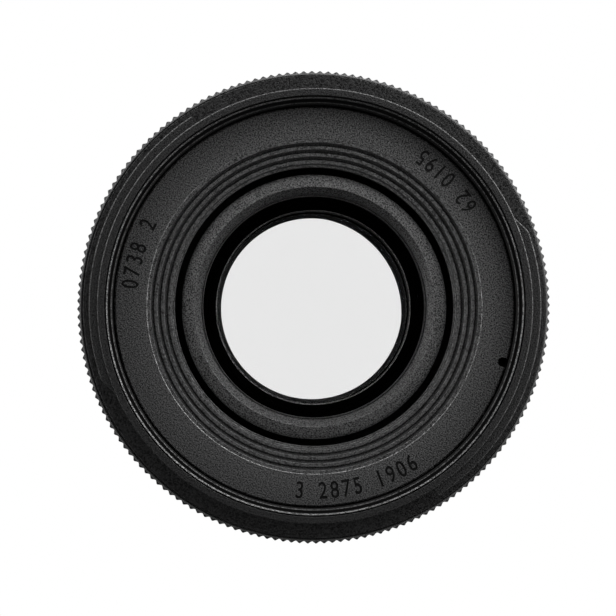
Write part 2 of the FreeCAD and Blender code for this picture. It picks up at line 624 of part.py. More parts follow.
def mount_ring():
    body = new_body("mount_ring")
    turned(body, "ring", [
        (d.throat_radius, -d.bayonet_depth), (d.bayonet_radius, -d.bayonet_depth),
        (d.bayonet_radius, 0), (d.flange_radius, 0), (d.flange_radius, d.flange_thickness),
        (d.spigot_radius, d.flange_thickness), (d.spigot_radius, mount_front),
        (d.throat_radius, mount_front)])
    lug_front = -d.bayonet_lug_depth
    lug_rear = lug_front - d.bayonet_lug_thickness
    lug_root = (d.throat_radius + d.bayonet_radius) / 2
    lug = turned(body, "lug", [
        (lug_root, lug_rear), (d.bayonet_lug_radius, lug_rear),
        (d.bayonet_lug_radius, lug_front), (lug_root, lug_front)],
        sweep=d.bayonet_lug_angle, azimuth=d.rod_azimuth)
    around(body, "lugs", [lug], 3)
    head_floor = d.head_sink + d.screw_head_height
    counterbore = holes(body, "counterbore", [(d.mount_screw_circle, 0, d.screw_head_radius + d.loose_gap)],
                        Size(0, "0"), head_floor, d.mount_screw_azimuth)
    through = holes(body, "through", [(d.mount_screw_circle, 0, d.screw_radius)],
                    Size(0, "0"), mount_front, d.mount_screw_azimuth)
    around(body, "screw_holes", [counterbore, through], 4)
    holes(body, "lock_hole", [(d.mount_screw_circle, 0, d.lock_hole_radius)],
          Size(0, "0"), head_floor, d.lock_hole_azimuth)
    contact_start = d.contact_azimuth - d.contact_screw_angle / 2
    tapped = holes(body, "contact_hole", [(d.contact_screw_circle, 0, d.small_screw_radius)],
                   mount_front + d.contact_ear_height - d.small_screw_length, mount_front,
                   contact_start)
    around(body, "contact_holes", [tapped], 2, d.contact_screw_angle)


def mount_screws():
    seat = d.head_sink + d.screw_head_height
    shank = (d.screw_radius, foot_top - seat - d.loose_gap)
    screws("mount_screws", d.mount_screw_circle, seat, d.mount_screw_azimuth, 4, -1, M16_HEAD, shank)


def contacts():
    body = new_body("contact_block")
    ear_top = mount_front + d.contact_ear_height
    wall = d.throat_radius - d.glass_gap
    turned(body, "block", [
        (d.contact_inner_radius, -d.contact_depth), (wall, -d.contact_depth), (wall, mount_front),
        (d.contact_ear_radius, mount_front), (d.contact_ear_radius, ear_top),
        (d.contact_inner_radius, ear_top)], sweep=d.contact_angle, azimuth=d.contact_azimuth)
    start = d.contact_azimuth - d.contact_screw_angle / 2
    hole = holes(body, "hole", [(d.contact_screw_circle, 0, d.small_screw_radius)],
                 mount_front, ear_top, start)
    around(body, "screw_holes", [hole], 2, d.contact_screw_angle)
    screws("contact_screws", d.contact_screw_circle, ear_top, start, 2, 1, M12_HEAD, M12_SHANK,
           d.contact_screw_angle)
    pads = new_body("contact_pads")
    row = d.pad_angle * (d.pad_count - 1)
    middle = (d.contact_inner_radius + wall) / 2
    pad = block(pads, "pad", middle - d.pad_length / 2, middle + d.pad_length / 2,
                -d.contact_depth - d.pad_proud, -d.contact_depth, d.pad_width,
                d.contact_azimuth - row / 2)
    around(pads, "row", [pad], d.pad_count, row)


def rear_baffle():
    body = new_body("rear_baffle")
    tube = d.baffle_bore + d.baffle_wall
    flange_top = mount_front + d.baffle_wall
    turned(body, "tube", [
        (d.baffle_bore, -d.baffle_depth), (tube, -d.baffle_depth), (tube, mount_front),
        (d.baffle_flange_radius, mount_front), (d.baffle_flange_radius, flange_top),
        (d.baffle_bore, flange_top)])
    clear = d.contact_inner_radius - d.loose_gap
    beyond = d.baffle_flange_radius + d.over_cut
    turned(body, "gap", [(clear, mount_front - d.over_cut), (beyond, mount_front - d.over_cut),
                         (beyond, flange_top + d.over_cut), (clear, flange_top + d.over_cut)],
           sweep=d.contact_angle + 2, azimuth=d.contact_azimuth, cut=True)


def rear_cover():
    body = new_body("rear_cover")
    rear = d.flange_thickness
    lip_bore = d.spigot_radius + d.glass_gap
    rear_bore = d.frame_rear_radius + d.ring_gap
    step = d.frame_step + d.loose_gap
    turned(body, "shell", [
        (lip_bore, rear), (d.cover_rear_radius - d.cover_edge, rear),
        (d.cover_rear_radius, rear + d.cover_edge), (d.cover_radius, d.cover_taper_end),
        (d.cover_radius, d.cover_front - d.cover_edge),
        (d.cover_radius - d.cover_edge, d.cover_front), (d.cover_bore, d.cover_front),
        (d.cover_bore, step + d.slope_height), (rear_bore, step), (rear_bore, mount_front),
        (lip_bore, mount_front)])
    half = d.switch_plate_length / 2 + d.glass_gap
    block(body, "plate_recess", d.switch_plate_floor, d.cover_radius + d.over_cut,
          d.switch_height - half, d.switch_height + half,
          d.switch_plate_width + 2 * d.glass_gap, cut=True)
    reach = (d.knob_stem_length + d.switch_travel) / 2 + d.loose_gap
    block(body, "knob_window", d.cover_bore - d.over_cut, d.cover_radius,
          d.switch_height - reach, d.switch_height + reach,
          d.knob_width + 2 * d.loose_gap, cut=True)
    dot = new_sketch(body, "dot_circle", "XZ_Plane", -d.dot_floor)
    circles(dot, [(0, d.dot_height, d.dot_radius)])
    raised(body, "dot_pocket", dot, d.cover_radius - d.dot_floor + d.over_cut, cut=True)


def index_dot():
    body = new_body("index_dot")
    sketch = new_sketch(body, "circle", "XZ_Plane", -d.dot_floor)
    circles(sketch, [(0, d.dot_height, d.dot_radius)])
    feature = raised(body, "dot", sketch, d.dot_thickness)
    feature.Reversed = True


def switch():
    plate = new_body("switch_plate")
    plate_face = d.switch_plate_floor + d.switch_plate_thickness
    half = d.switch_plate_length / 2
    block(plate, "plate", d.switch_plate_floor, plate_face,
          d.switch_height - half, d.switch_height + half, d.switch_plate_width)
    reach = (d.knob_stem_length + d.switch_travel) / 2 + d.loose_gap
    block(plate, "slot", d.switch_plate_floor - d.over_cut, plate_face + d.over_cut,
          d.switch_height - reach, d.switch_height + reach,
          d.knob_width + 2 * d.loose_gap, cut=True)
    knob = new_body("af_mf_switch")
    centre = d.switch_height + d.switch_travel / 2
    under = plate_face + d.glass_gap
    top = under + d.knob_height
    foot = d.cover_bore - d.loose_gap
    stem = d.knob_stem_length / 2
    side = d.knob_length / 2
    corners = [(foot, centre - stem), (under, centre - stem), (under, centre - side),
               (top, centre - side)]
    for place in (-1, 0, 1):
        groove = centre + place * d.knob_length / 4
        corners += [(top, groove - d.knob_groove), (top - d.knob_groove, groove),
                    (top, groove + d.knob_groove)]
    corners += [(top, centre + side), (under, centre + side), (under, centre + stem),
                (foot, centre + stem)]
    sketch = new_sketch(knob, "side", "XZ_Plane")
    outline(sketch, corners)
    raised(knob, "knob", sketch, d.knob_width, both_ways=True)
    body = new_body("switch_body")
    face = foot - d.glass_gap
    length = d.switch_body_length / 2
    block(body, "case", face - d.switch_body_depth, face,
          d.switch_height - length, d.switch_height + length, d.switch_body_width)


def inner_frame():
    body = new_body("inner_frame")
    rear_bore = d.frame_rear_radius - d.frame_wall
    slope_top = d.frame_step + d.slope_height
    top = web_bottom
    turned(body, "barrel", [
        (d.foot_bore, mount_front), (d.frame_rear_radius, mount_front),
        (d.frame_rear_radius, d.frame_step), (d.frame_radius, slope_top),
        (d.frame_radius, top), (d.frame_bore, top),
        (d.frame_bore, slope_top + d.cover_edge), (rear_bore, d.frame_step + d.cover_edge),
        (rear_bore, foot_top), (d.foot_bore, foot_top)])
    into_wall = (d.frame_bore + d.frame_radius) / 2
    low_boss = block(body, "chassis_boss", d.chassis_screw_circle - d.boss_width / 2, into_wall,
                     d.chassis_height - d.boss_height, d.chassis_height, d.boss_width, d.boss_azimuth)
    high_boss = block(body, "front_boss", d.holder_bore, into_wall,
                      holder_bottom - d.boss_height, holder_bottom, d.boss_width, d.boss_azimuth)
    low_hole = holes(body, "chassis_hole", [(d.chassis_screw_circle, 0, d.screw_radius)],
                     chassis_top - d.screw_length, d.chassis_height, d.boss_azimuth)
    high_hole = holes(body, "front_hole", [(d.front_screw_circle, 0, d.screw_radius)],
                      web_top - d.screw_length, holder_bottom, d.boss_azimuth)
    around(body, "bosses", [low_boss, high_boss, low_hole, high_hole], 3)
    mount_hole = holes(body, "mount_hole", [(d.mount_screw_circle, 0, d.screw_radius)],
                       mount_front, foot_top, d.mount_screw_azimuth)
    around(body, "mount_holes", [mount_hole], 4)
    board_hole = holes(body, "board_hole", [(d.board_screw_circle, 0, d.small_screw_radius)],
                       foot_top + d.board_thickness - d.small_screw_length, foot_top,
                       d.board_screw_azimuth)
    around(body, "board_holes", [board_hole], 3)
    length = d.switch_body_length / 2 + d.glass_gap
    block(body, "switch_window", d.frame_bore - d.over_cut, d.frame_radius + d.over_cut,
          d.switch_height - length, d.switch_height + length,
          d.switch_body_width + 2 * d.glass_gap, cut=True)
    reader = block(body, "reader_window", d.frame_bore - d.over_cut, d.frame_radius + d.over_cut,
                   reader_bottom - d.glass_gap, reader_bottom + d.reader_height + d.glass_gap,
                   d.reader_width + 2 * d.glass_gap, d.reader_azimuth - d.reader_angle / 2, cut=True)
    around(body, "reader_windows", [reader], 2, d.reader_angle)


strip_bottom = d.focus_ring_rear + d.strip_offset
reader_bottom = strip_bottom + (d.strip_height - d.reader_height) / 2
reader_inner = d.frame_bore - d.loose_gap


def ring_readers():
    body = new_body("ring_sensors")
    reader = block(body, "reader", reader_inner, d.frame_radius - d.loose_gap,
                   reader_bottom, reader_bottom + d.reader_height, d.reader_width,
                   d.reader_azimuth - d.reader_angle / 2)
    around(body, "readers", [reader], 2, d.reader_angle)
    flex = new_body("sensor_flex")
    board_top = foot_top + d.board_thickness
    rear_wall = d.frame_rear_radius - d.frame_wall - d.loose_gap
    front_wall = d.frame_bore - d.loose_gap
    bend = d.frame_step + d.cover_edge + 2 * d.loose_gap
    upper_bend = bend + d.slope_height
    thick = d.flex_thickness
    end = reader_bottom + d.reader_height
    turned(flex, "strip", [
        (rear_wall - d.flex_foot, board_top), (rear_wall, board_top), (rear_wall, bend),
        (front_wall, upper_bend), (front_wall, end),
        (front_wall - thick, end), (front_wall - thick, upper_bend + thick / 2),
        (rear_wall - thick, bend + thick / 2), (rear_wall - thick, board_top + thick),
        (rear_wall - d.flex_foot, board_top + thick)], sweep=d.flex_angle, azimuth=d.reader_azimuth)


def main_board():
    outer = d.frame_rear_radius - d.frame_wall - 2 * d.loose_gap
    top = foot_top + d.board_thickness
    body = ring("main_board", d.board_bore, outer, foot_top, top)
    block(body, "notch", d.board_bore - d.over_cut, d.board_bore + d.board_notch,
          foot_top - d.over_cut, top + d.over_cut,
          d.board_notch * 4, d.contact_azimuth, cut=True)
    hole = holes(body, "hole", [(d.board_screw_circle, 0, d.small_screw_radius)], foot_top, top,
                 d.board_screw_azimuth)
    around(body, "screw_holes", [hole], 3)
    screws("board_screws", d.board_screw_circle, top, d.board_screw_azimuth, 3, 1, M12_HEAD,
           M12_SHANK)
    chips = new_body("board_chips")
    for name, azimuth, length, width in (("driver", 30, 4.0, 4.0), ("processor", 80, 5.0, 6.0),
                                         ("memory", 150, 2.5, 3.5), ("regulator", 210, 3.0, 3.0),
                                         ("motor_driver", 320, 4.0, 5.0)):
        block(chips, name, d.chip_circle - length / 2, d.chip_circle + length / 2,
              top, top + d.chip_height, width, azimuth)


def chassis_plate():
    outer = d.frame_bore - 2 * d.loose_gap
    body = ring("chassis_plate", d.chassis_bore, outer, d.chassis_height, chassis_top)
    rod = holes(body, "rod_hole", [(d.rod_circle, 0, d.rod_radius)],
                d.chassis_height, chassis_top, d.rod_azimuth)
    around(body, "rod_holes", [rod], 2)
    hole = holes(body, "screw_hole", [(d.chassis_screw_circle, 0, d.screw_radius)],
                 d.chassis_height, chassis_top, d.boss_azimuth)
    around(body, "screw_holes", [hole], 3)
    holes(body, "drive_hole", [(d.drive_circle, 0, d.lead_screw_radius + d.ring_gap)],
          d.chassis_height, chassis_top, d.drive_azimuth)
    block(body, "flex_notch", d.frame_bore - d.over_cut, d.frame_bore + d.over_cut,
          d.chassis_height - d.over_cut, chassis_top + d.over_cut,
          d.reader_width * 2, d.reader_azimuth, cut=True)
    screws("chassis_screws", d.chassis_screw_circle, chassis_top, d.boss_azimuth, 3, 1,
           M16_HEAD, M16_SHANK)


def guide_rods():
    body = new_body("guide_rods")
    rod = posts(body, "rod", [(d.rod_circle, 0, d.rod_radius)], d.chassis_height, web_bottom,
                d.rod_azimuth)
    around(body, "rods", [rod], 2)


def rod_holder():
    body = ring("rod_holder", d.holder_bore, d.frame_bore - 2 * d.loose_gap, holder_bottom, web_bottom)
    rod = holes(body, "rod_hole", [(d.rod_circle, 0, d.rod_radius)],
                holder_bottom, web_bottom, d.rod_azimuth)
    around(body, "rod_holes", [rod], 2)
    hole = holes(body, "screw_hole", [(d.front_screw_circle, 0, d.screw_radius)],
                 holder_bottom, web_bottom, d.boss_azimuth)
    around(body, "screw_holes", [hole], 3)
    holes(body, "bearing", [(d.drive_circle, 0, d.lead_screw_radius + d.running_gap)],
          holder_bottom, web_bottom, d.drive_azimuth)


def focus_drive():
    motor = new_body("focus_motor")
    bottom = d.chassis_height - d.motor_length
    posts(motor, "case", [(d.drive_circle, 0, d.motor_radius)], bottom, d.chassis_height,
          d.drive_azimuth)
    holes(motor, "bore", [(d.drive_circle, 0, d.lead_screw_radius + d.running_gap)],
          d.chassis_height - d.motor_seat, d.chassis_height, d.drive_azimuth)
    lead = new_body("lead_screw")
    posts(lead, "shaft", [(d.drive_circle, 0, d.lead_screw_radius)],
          d.chassis_height - d.motor_seat + d.loose_gap, web_bottom - d.loose_gap, d.drive_azimuth)
    nut = new_body("drive_nut")
    bottom = cup_bottom - d.nut_flange
    posts(nut, "flange", [(d.drive_circle, 0, d.nut_radius + d.nut_rim)], bottom, cup_bottom,
          d.drive_azimuth)
    posts(nut, "sleeve", [(d.drive_circle, 0, d.nut_radius)], cup_bottom, bottom + d.nut_length,
          d.drive_azimuth)
    holes(nut, "thread", [(d.drive_circle, 0, d.lead_screw_radius + d.running_gap)],
          bottom, bottom + d.nut_length, d.drive_azimuth)


def home_sensor():
    body = new_body("home_sensor")
    top = chassis_top + d.sensor_height
    near = d.holder_bore
    far = near + d.sensor_depth
    block(body, "case", near, far, chassis_top, top, d.sensor_width, d.sensor_azimuth)
    block(body, "slot", near - d.over_cut, far + d.over_cut, chassis_top + d.sensor_floor,
          top + d.over_cut,
          d.vane_thickness + 4 * d.loose_gap, d.sensor_azimuth, cut=True)


def focus_ring():
    body = new_body("focus_ring")
    land = d.frame_radius + d.running_gap
    relief = land + d.land_relief
    rear, front = d.focus_ring_rear, focus_ring_front
    root = d.tooth_tip_radius - d.tooth_depth
    grip = rear + d.grip_start
    turned(body, "shell", [
        (land, rear), (root - d.cover_edge, rear), (root, rear + d.cover_edge), (root, grip),
        (d.tooth_tip_radius, grip + d.tooth_depth), (d.tooth_tip_radius, front - d.ring_bevel),
        (d.tooth_tip_radius - d.ring_bevel, front), (land, front),
        (land, front - d.land_width), (relief, front - d.land_width - d.land_relief),
        (relief, rear + d.land_width + d.land_relief), (land, rear + d.land_width)])
    pitch = 2 * math.pi * d.tooth_tip_radius / d.tooth_count
    half = (pitch - d.tooth_land) / 2
    sketch = new_sketch(body, "tooth_space", "XY_Plane", front + d.loose_gap)
    beyond = d.tooth_depth * 2
    outline(sketch, [(root, 0), (root + beyond, -2 * half), (root + beyond, 2 * half)])
    space = raised(body, "tooth_cut", sketch, front + d.loose_gap - grip - d.tooth_depth, cut=True)
    around(body, "teeth", [space], d.tooth_count)
    strip = new_body("encoder_strip")
    turned(strip, "band", [
        (relief - d.strip_thickness, strip_bottom), (relief, strip_bottom),
        (relief, strip_bottom + d.strip_height),
        (relief - d.strip_thickness, strip_bottom + d.strip_height)])


def front_ring():
    body = new_body("front_ring")
    lip = d.lens_length
    shoulder = lip - d.shoulder_depth
    land = d.frame_radius
    head_room = d.front_screw_circle + d.screw_head_radius + d.head_room
    ledge_bore = d.thread_radius - d.plate_ledge
    plate_seat = d.thread_radius + d.thread_relief
    turned(body, "shell", [
        (d.lip_radius, lip), (d.front_radius - d.lip_edge, lip),
        (d.front_radius, lip - d.lip_edge), (d.front_radius, shoulder),
        (d.shoulder_radius, shoulder), (d.front_ring_radius, front_ring_rear),
        (land, front_ring_rear), (land, web_bottom), (d.holder_bore, web_bottom),
        (d.holder_bore, web_top), (head_room, web_top), (head_room, plate_bottom - d.plate_ledge),
        (ledge_bore, plate_bottom - d.plate_ledge), (ledge_bore, plate_bottom),
        (plate_seat, plate_bottom), (plate_seat, plate_top + d.ring_gap),
        (d.thread_radius, plate_top + d.ring_gap),
        (d.thread_radius, lip - d.lip_bevel_depth), (d.lip_step_radius, lip - d.lip_step_depth),
        (d.lip_radius, lip - d.lip_step_depth)])
    lug_front = lip - d.hood_lug_depth
    lug_rear = lug_front - d.hood_lug_thickness
    inside = (d.front_radius + d.lip_radius) / 2
    lug = turned(body, "hood_lug", [
        (inside, lug_rear), (d.hood_lug_radius, lug_rear),
        (d.hood_lug_radius, lug_front - d.lip_edge), (d.hood_lug_radius - d.lip_edge, lug_front),
        (inside, lug_front)], sweep=d.hood_lug_angle)
    ramp = new_sketch(body, "lug_ramp", "XY_Plane", lug_front, d.hood_lug_angle / 2)
    beyond = d.hood_lug_radius + d.over_cut
    run = d.hood_ramp * (d.hood_lug_rise + d.over_cut) / d.hood_lug_rise
    outline(ramp, [(d.front_radius, 0), (beyond, -run), (beyond, d.over_cut),
                   (d.front_radius, d.over_cut)])
    ramp_cut = raised(body, "ramp_cut", ramp, d.hood_lug_thickness, cut=True)
    around(body, "hood_lugs", [lug, ramp_cut], 2)
    hole = holes(body, "hole", [(d.front_screw_circle, 0, d.screw_radius)],
                 web_bottom, web_top, d.boss_azimuth)
    around(body, "screw_holes", [hole], 3)
    screws("front_ring_screws", d.front_screw_circle, web_top, d.boss_azimuth, 3, 1,
           M16_HEAD, M16_SHANK)


def name_plate():
    body = new_body("name_plate")
    rebate = d.plate_radius - d.plate_rebate
    corners = [(d.plate_radius, plate_bottom), (d.plate_radius, plate_top - d.plate_rebate_depth),
               (rebate, plate_top - d.plate_rebate_depth), (rebate, plate_top),
               (d.plate_flat_radius, plate_top)]
    below = plate_top - d.flat_step
    edge = d.plate_bore + d.step_count * d.step_pitch
    corners.append((edge, below))
    for index in range(int(d.step_count)):
        foot = edge - d.step_pitch + d.step_groove
        corners.append((foot + d.step_slant, below))
        edge -= d.step_pitch
        below -= d.step_drop
        if index < int(d.step_count) - 1:
            corners += [(foot, below - d.step_groove_depth), (edge, below - d.step_groove_depth),
                        (edge, below)]
        else:
            corners.append((foot, below))
    inner_top = plate_top - d.plate_drop
    corners += [(d.plate_bore, inner_top), (d.plate_bore, inner_top - d.plate_wall),
                (d.plate_bore + d.plate_wall / 2, inner_top - d.plate_wall),
                (d.plate_flat_radius + d.plate_wall / 2, plate_bottom)]
    turned(body, "cone", corners)
    notch = d.plate_radius - d.key_notch_depth + d.key_notch_radius
    holes(body, "key_notch", [(notch, 0, d.key_notch_radius)], plate_bottom, plate_top)
    block(body, "key_mouth", notch, d.plate_radius + d.over_cut, plate_bottom - d.over_cut,
          plate_top + d.over_cut,
          2 * d.key_notch_radius, cut=True)


def lens_barrel():
    body = new_body("lens_barrel")
    tube_top = d.lens_length - d.barrel_depth
    seat = d.lens_length - d.front_seat_depth
    base_bore = d.iris_radius + d.iris_seat
    turned(body, "barrel", [
        (d.front_seat_radius, tube_top), (d.barrel_radius, tube_top), (d.barrel_radius, cup_top),
        (d.cup_radius, cup_top), (d.cup_radius, cup_bottom), (base_bore, cup_bottom),
        (base_bore, base_top), (d.iris_radius, base_top), (d.iris_radius, cup_top - d.cup_face),
        (d.lip_bore, cup_top - d.cup_face), (d.lip_bore, cup_top), (d.group_bore, cup_top),
        (d.group_bore, seat), (d.front_seat_radius, seat)])
    wall = (base_bore + d.cup_radius) / 2
    sleeve_top = cup_bottom + d.sleeve_rise
    block(body, "sleeve_web", wall, d.rod_circle, cup_bottom, sleeve_top, 2 * d.sleeve_radius,
          d.rod_azimuth)
    posts(body, "sleeve", [(d.rod_circle, 0, d.sleeve_radius)], sleeve_top - d.sleeve_length,
          sleeve_top, d.rod_azimuth)
    holes(body, "sleeve_bore", [(d.rod_circle, 0, bushing_radius)],
          sleeve_top - d.sleeve_length, sleeve_top, d.rod_azimuth)
    opposite = d.rod_azimuth + 180
    fork_bottom = cup_bottom + d.fork_rise
    fork_end = d.rod_circle + d.sleeve_radius
    block(body, "fork", wall, fork_end, fork_bottom, fork_bottom + d.fork_height,
          2 * d.sleeve_radius, opposite)
    block(body, "fork_slot", d.rod_circle - d.rod_radius - d.ring_gap, fork_end + d.over_cut,
          fork_bottom - d.over_cut, fork_bottom + d.fork_height + d.over_cut,
          2 * (d.rod_radius + d.running_gap), opposite, cut=True)
    block(body, "nut_arm", wall, d.drive_circle + d.nut_radius + d.nut_rim, cup_bottom,
          cup_bottom + d.arm_height, 2 * (d.nut_radius + d.nut_rim), d.drive_azimuth)
    holes(body, "nut_hole", [(d.drive_circle, 0, d.nut_radius)], cup_bottom,
          cup_bottom + d.arm_height, d.drive_azimuth)
    block(body, "motor_ear", wall, pinion_circle + d.iris_motor_radius, cup_bottom,
          cup_bottom + d.ear_height, 2 * d.iris_motor_radius, d.iris_azimuth)
    holes(body, "ear_hole", [(pinion_circle, 0, 2 * d.pin_radius)], cup_bottom,
          cup_bottom + d.ear_height, d.iris_azimuth)
    turned(body, "sector_window", [
        (d.iris_radius - d.loose_gap, cam_bottom - 2 * d.loose_gap),
        (d.cup_radius + d.over_cut, cam_bottom - 2 * d.loose_gap),
        (d.cup_radius + d.over_cut, cam_top + 2 * d.loose_gap),
        (d.iris_radius - d.loose_gap, cam_top + 2 * d.loose_gap)],
        sweep=2 * d.cam_turn + 2 * d.sector_margin, azimuth=d.iris_azimuth, cut=True)
    block(body, "vane", wall, d.rod_circle + d.rod_radius, cup_bottom - d.vane_drop,
          cup_bottom + d.arm_height, d.vane_thickness, d.sensor_azimuth)
    bushings = new_body("rod_bushings")
    inner = d.rod_radius + d.running_gap
    for name, low in (("rear", sleeve_top - d.sleeve_length), ("front", sleeve_top - d.bushing_length)):
        posts(bushings, name, [(d.rod_circle, 0, bushing_radius)], low, low + d.bushing_length,
              d.rod_azimuth)
    holes(bushings, "bore", [(d.rod_circle, 0, inner)], sleeve_top - d.sleeve_length, sleeve_top,
          d.rod_azimuth)


bushing_radius = d.rod_radius + d.running_gap + d.bushing_wall
pinion_circle = d.sector_radius + d.pinion_radius


def front_bezel():
    body = new_body("front_bezel")
    crest = d.lens_length - d.bezel_crest_depth
    tube_top = d.lens_length - d.barrel_depth
    neck = d.front_seat_radius - d.glass_gap
    hold = sphere_height(d.lens_length - d.element_1_edge, d.front_seat_radius - d.glass_gap,
                         d.element_1_front, d.bezel_bore) + d.glass_gap
    turned(body, "bezel", [
        (d.bezel_bore, hold), (d.bezel_bore, crest - d.bezel_inner_drop),
        (d.bezel_crest_radius, crest), (d.bezel_radius, crest - d.bezel_outer_drop),
        (d.bezel_radius, tube_top), (neck, tube_top), (neck, hold)])


def sphere_height(edge_height, edge_radius, curve, radius):
    """Height at a radius of a dome that has the given height at its edge."""
    return edge_height - root(curve * curve - edge_radius * edge_radius) \
        + root(curve * curve - radius * radius)


def ball(label, curve, centre):
    """A sphere on the optical axis."""
    sphere = doc.addObject("Part::Sphere", label)
    sphere.Radius = float(curve)
    sphere.Placement = FreeCAD.Placement(FreeCAD.Vector(0, 0, float(centre)), FreeCAD.Rotation())
    bind(sphere, "Radius", curve)
    bind(sphere, "Placement.Base.z", centre)
    return sphere


def element(label, radius, low, high, faces):
    """A glass element: a disc cut to spherical faces given as (curve, centre, kept)."""
    disc = doc.addObject("Part::Cylinder", label + "_disc")
    disc.Radius = float(radius)
    disc.Height = float(high - low)
    disc.Placement = FreeCAD.Placement(FreeCAD.Vector(0, 0, float(low)), FreeCAD.Rotation())
    bind(disc, "Radius", radius)
    bind(disc, "Height", high - low)
    bind(disc, "Placement.Base.z", low)
    shape = disc
    for number, (curve, centre, kept) in enumerate(faces, start=1):
        sphere = ball("%s_curve_%d" % (label, number), curve, centre)
        kind = "Part::Common" if kept else "Part::Cut"
        cut = doc.addObject(kind, "%s_face_%d" % (label, number))
        cut.Base = shape
        cut.Tool = sphere
        shape = cut
    shape.Label = label
    nodes.append(shape)


def glass():
    lip = d.lens_length
    large = d.front_seat_radius - d.glass_gap
    small = d.group_bore - d.glass_gap
    last = d.cell_rear_bore - d.glass_gap

    def dome(edge_height, edge_radius, curve):
        """Centre of a sphere that bulges forward and passes the edge."""
        return edge_height - root(curve * curve - edge_radius * edge_radius)

    def bowl(edge_height, edge_radius, curve):
        """Centre of a sphere that bulges backward and passes the edge."""
        return edge_height + root(curve * curve - edge_radius * edge_radius)

    seat = lip - d.front_seat_depth
    front = lip - d.element_1_edge
    element("element_1", large, seat, front + d.glass_stock, [
        (d.element_1_front, dome(front, large, d.element_1_front), True),
        (d.element_1_rear, dome(seat, d.group_bore, d.element_1_rear), False)])
    front = lip - d.element_2_edge
    joint = lip - d.front_joint_edge
    joint_centre = dome(joint, small, d.front_joint)
    element("element_2", small, joint, front + d.glass_stock, [
        (d.element_2_front, dome(front, small, d.element_2_front), True),
        (d.front_joint, joint_centre, False)])
    element("element_3", small, cup_top, joint + d.glass_stock, [
        (d.front_joint, joint_centre, True),
        (d.element_3_rear, dome(cup_top, d.clear_radius, d.element_3_rear), False)])
    front = lip - d.element_4_edge
    joint = lip - d.rear_joint_edge
    joint_centre = bowl(joint, small, d.rear_joint)
    element("element_4", small, joint - d.glass_stock, front, [
        (d.element_4_front, bowl(front, d.clear_radius, d.element_4_front), False),
        (d.rear_joint, joint_centre, True)])
    rear = lip - d.element_5_edge
    element("element_5", small, rear - d.glass_stock, joint, [
        (d.rear_joint, joint_centre, False),
        (d.element_5_rear, bowl(rear, small, d.element_5_rear), True)])
    front = lip - d.element_6_edge
    rear = front - d.element_6_thickness
    element("element_6", last, rear - d.glass_stock, front + d.glass_stock, [
        (d.element_6_front, dome(front, last, d.element_6_front), True),
        (d.element_6_rear, bowl(rear, last, d.element_6_rear), True)])
    below = sphere_height(lip - d.element_2_edge, small, d.element_2_front, d.lip_bore)
    ring("spacer_ring", d.lip_bore, small, below + d.glass_gap, seat)


def rear_cell():
    body = new_body("rear_cell")
    lip = d.lens_length
    bottom = lip - d.cell_depth
    flange = d.iris_radius + d.iris_seat - d.glass_gap
    flange_bottom = base_bottom - d.cell_flange
    small = d.group_bore - d.glass_gap
    last = d.cell_rear_bore - d.glass_gap
    pair_edge = lip - d.element_5_edge
    pair_low = pair_edge + root(d.element_5_rear * d.element_5_rear - small * small) \
        - root(d.element_5_rear * d.element_5_rear - d.cell_lip_bore * d.cell_lip_bore)
    lip_top = pair_low - d.glass_gap
    seat = sphere_height(lip - d.element_6_edge, last, d.element_6_front, d.cell_mid_bore) + d.glass_gap
    turned(body, "cell", [
        (flange, base_bottom), (flange, flange_bottom), (d.cell_radius, flange_bottom),
        (d.cell_radius, bottom), (d.cell_rear_bore, bottom), (d.cell_rear_bore, seat),
        (d.cell_mid_bore, seat), (d.cell_mid_bore, lip_top - d.cell_lip_height),
        (d.cell_lip_bore, lip_top - d.cell_lip_height), (d.cell_lip_bore, lip_top),
        (d.group_bore, lip_top), (d.group_bore, base_bottom)])
    rear_edge = lip - d.element_6_edge - d.element_6_thickness
    touch = rear_edge + root(d.element_6_rear * d.element_6_rear - last * last) \
        - root(d.element_6_rear * d.element_6_rear - d.retainer_bore * d.retainer_bore)
    ring("rear_retainer", d.retainer_bore, last, touch - d.glass_gap - d.retainer_height,
         touch - d.glass_gap)


def cam_pin_place(swing):
    """Cam pin seen from the axis, as (radius, angle) in degrees, at a swing of its blade."""
    angle = math.radians(180 - d.cam_arm_azimuth + swing)
    across = d.pivot_circle + d.cam_arm * math.cos(angle)
    up = d.cam_arm * math.sin(angle)
    return math.hypot(across, up), math.degrees(math.atan2(up, across))


# The swing that closes the blades to the smallest stop: the centre of a blade's inner edge
# moves away from the axis along a circle about its pivot.
blade_swing = 2 * math.degrees(math.asin((d.blade_inner - d.smallest_stop) / 2 / d.pivot_circle))
swing_per_turn = blade_swing / d.cam_turn


def iris_base():
    body = ring("iris_base", d.stop_radius, d.iris_radius + d.iris_seat - d.glass_gap,
                base_bottom, base_top)
    hole = holes(body, "pivot_hole", [(d.pivot_circle, 0, d.pin_radius + d.glass_gap)],
                 base_bottom, base_top)
    around(body, "pivot_holes", [hole], d.blade_count)


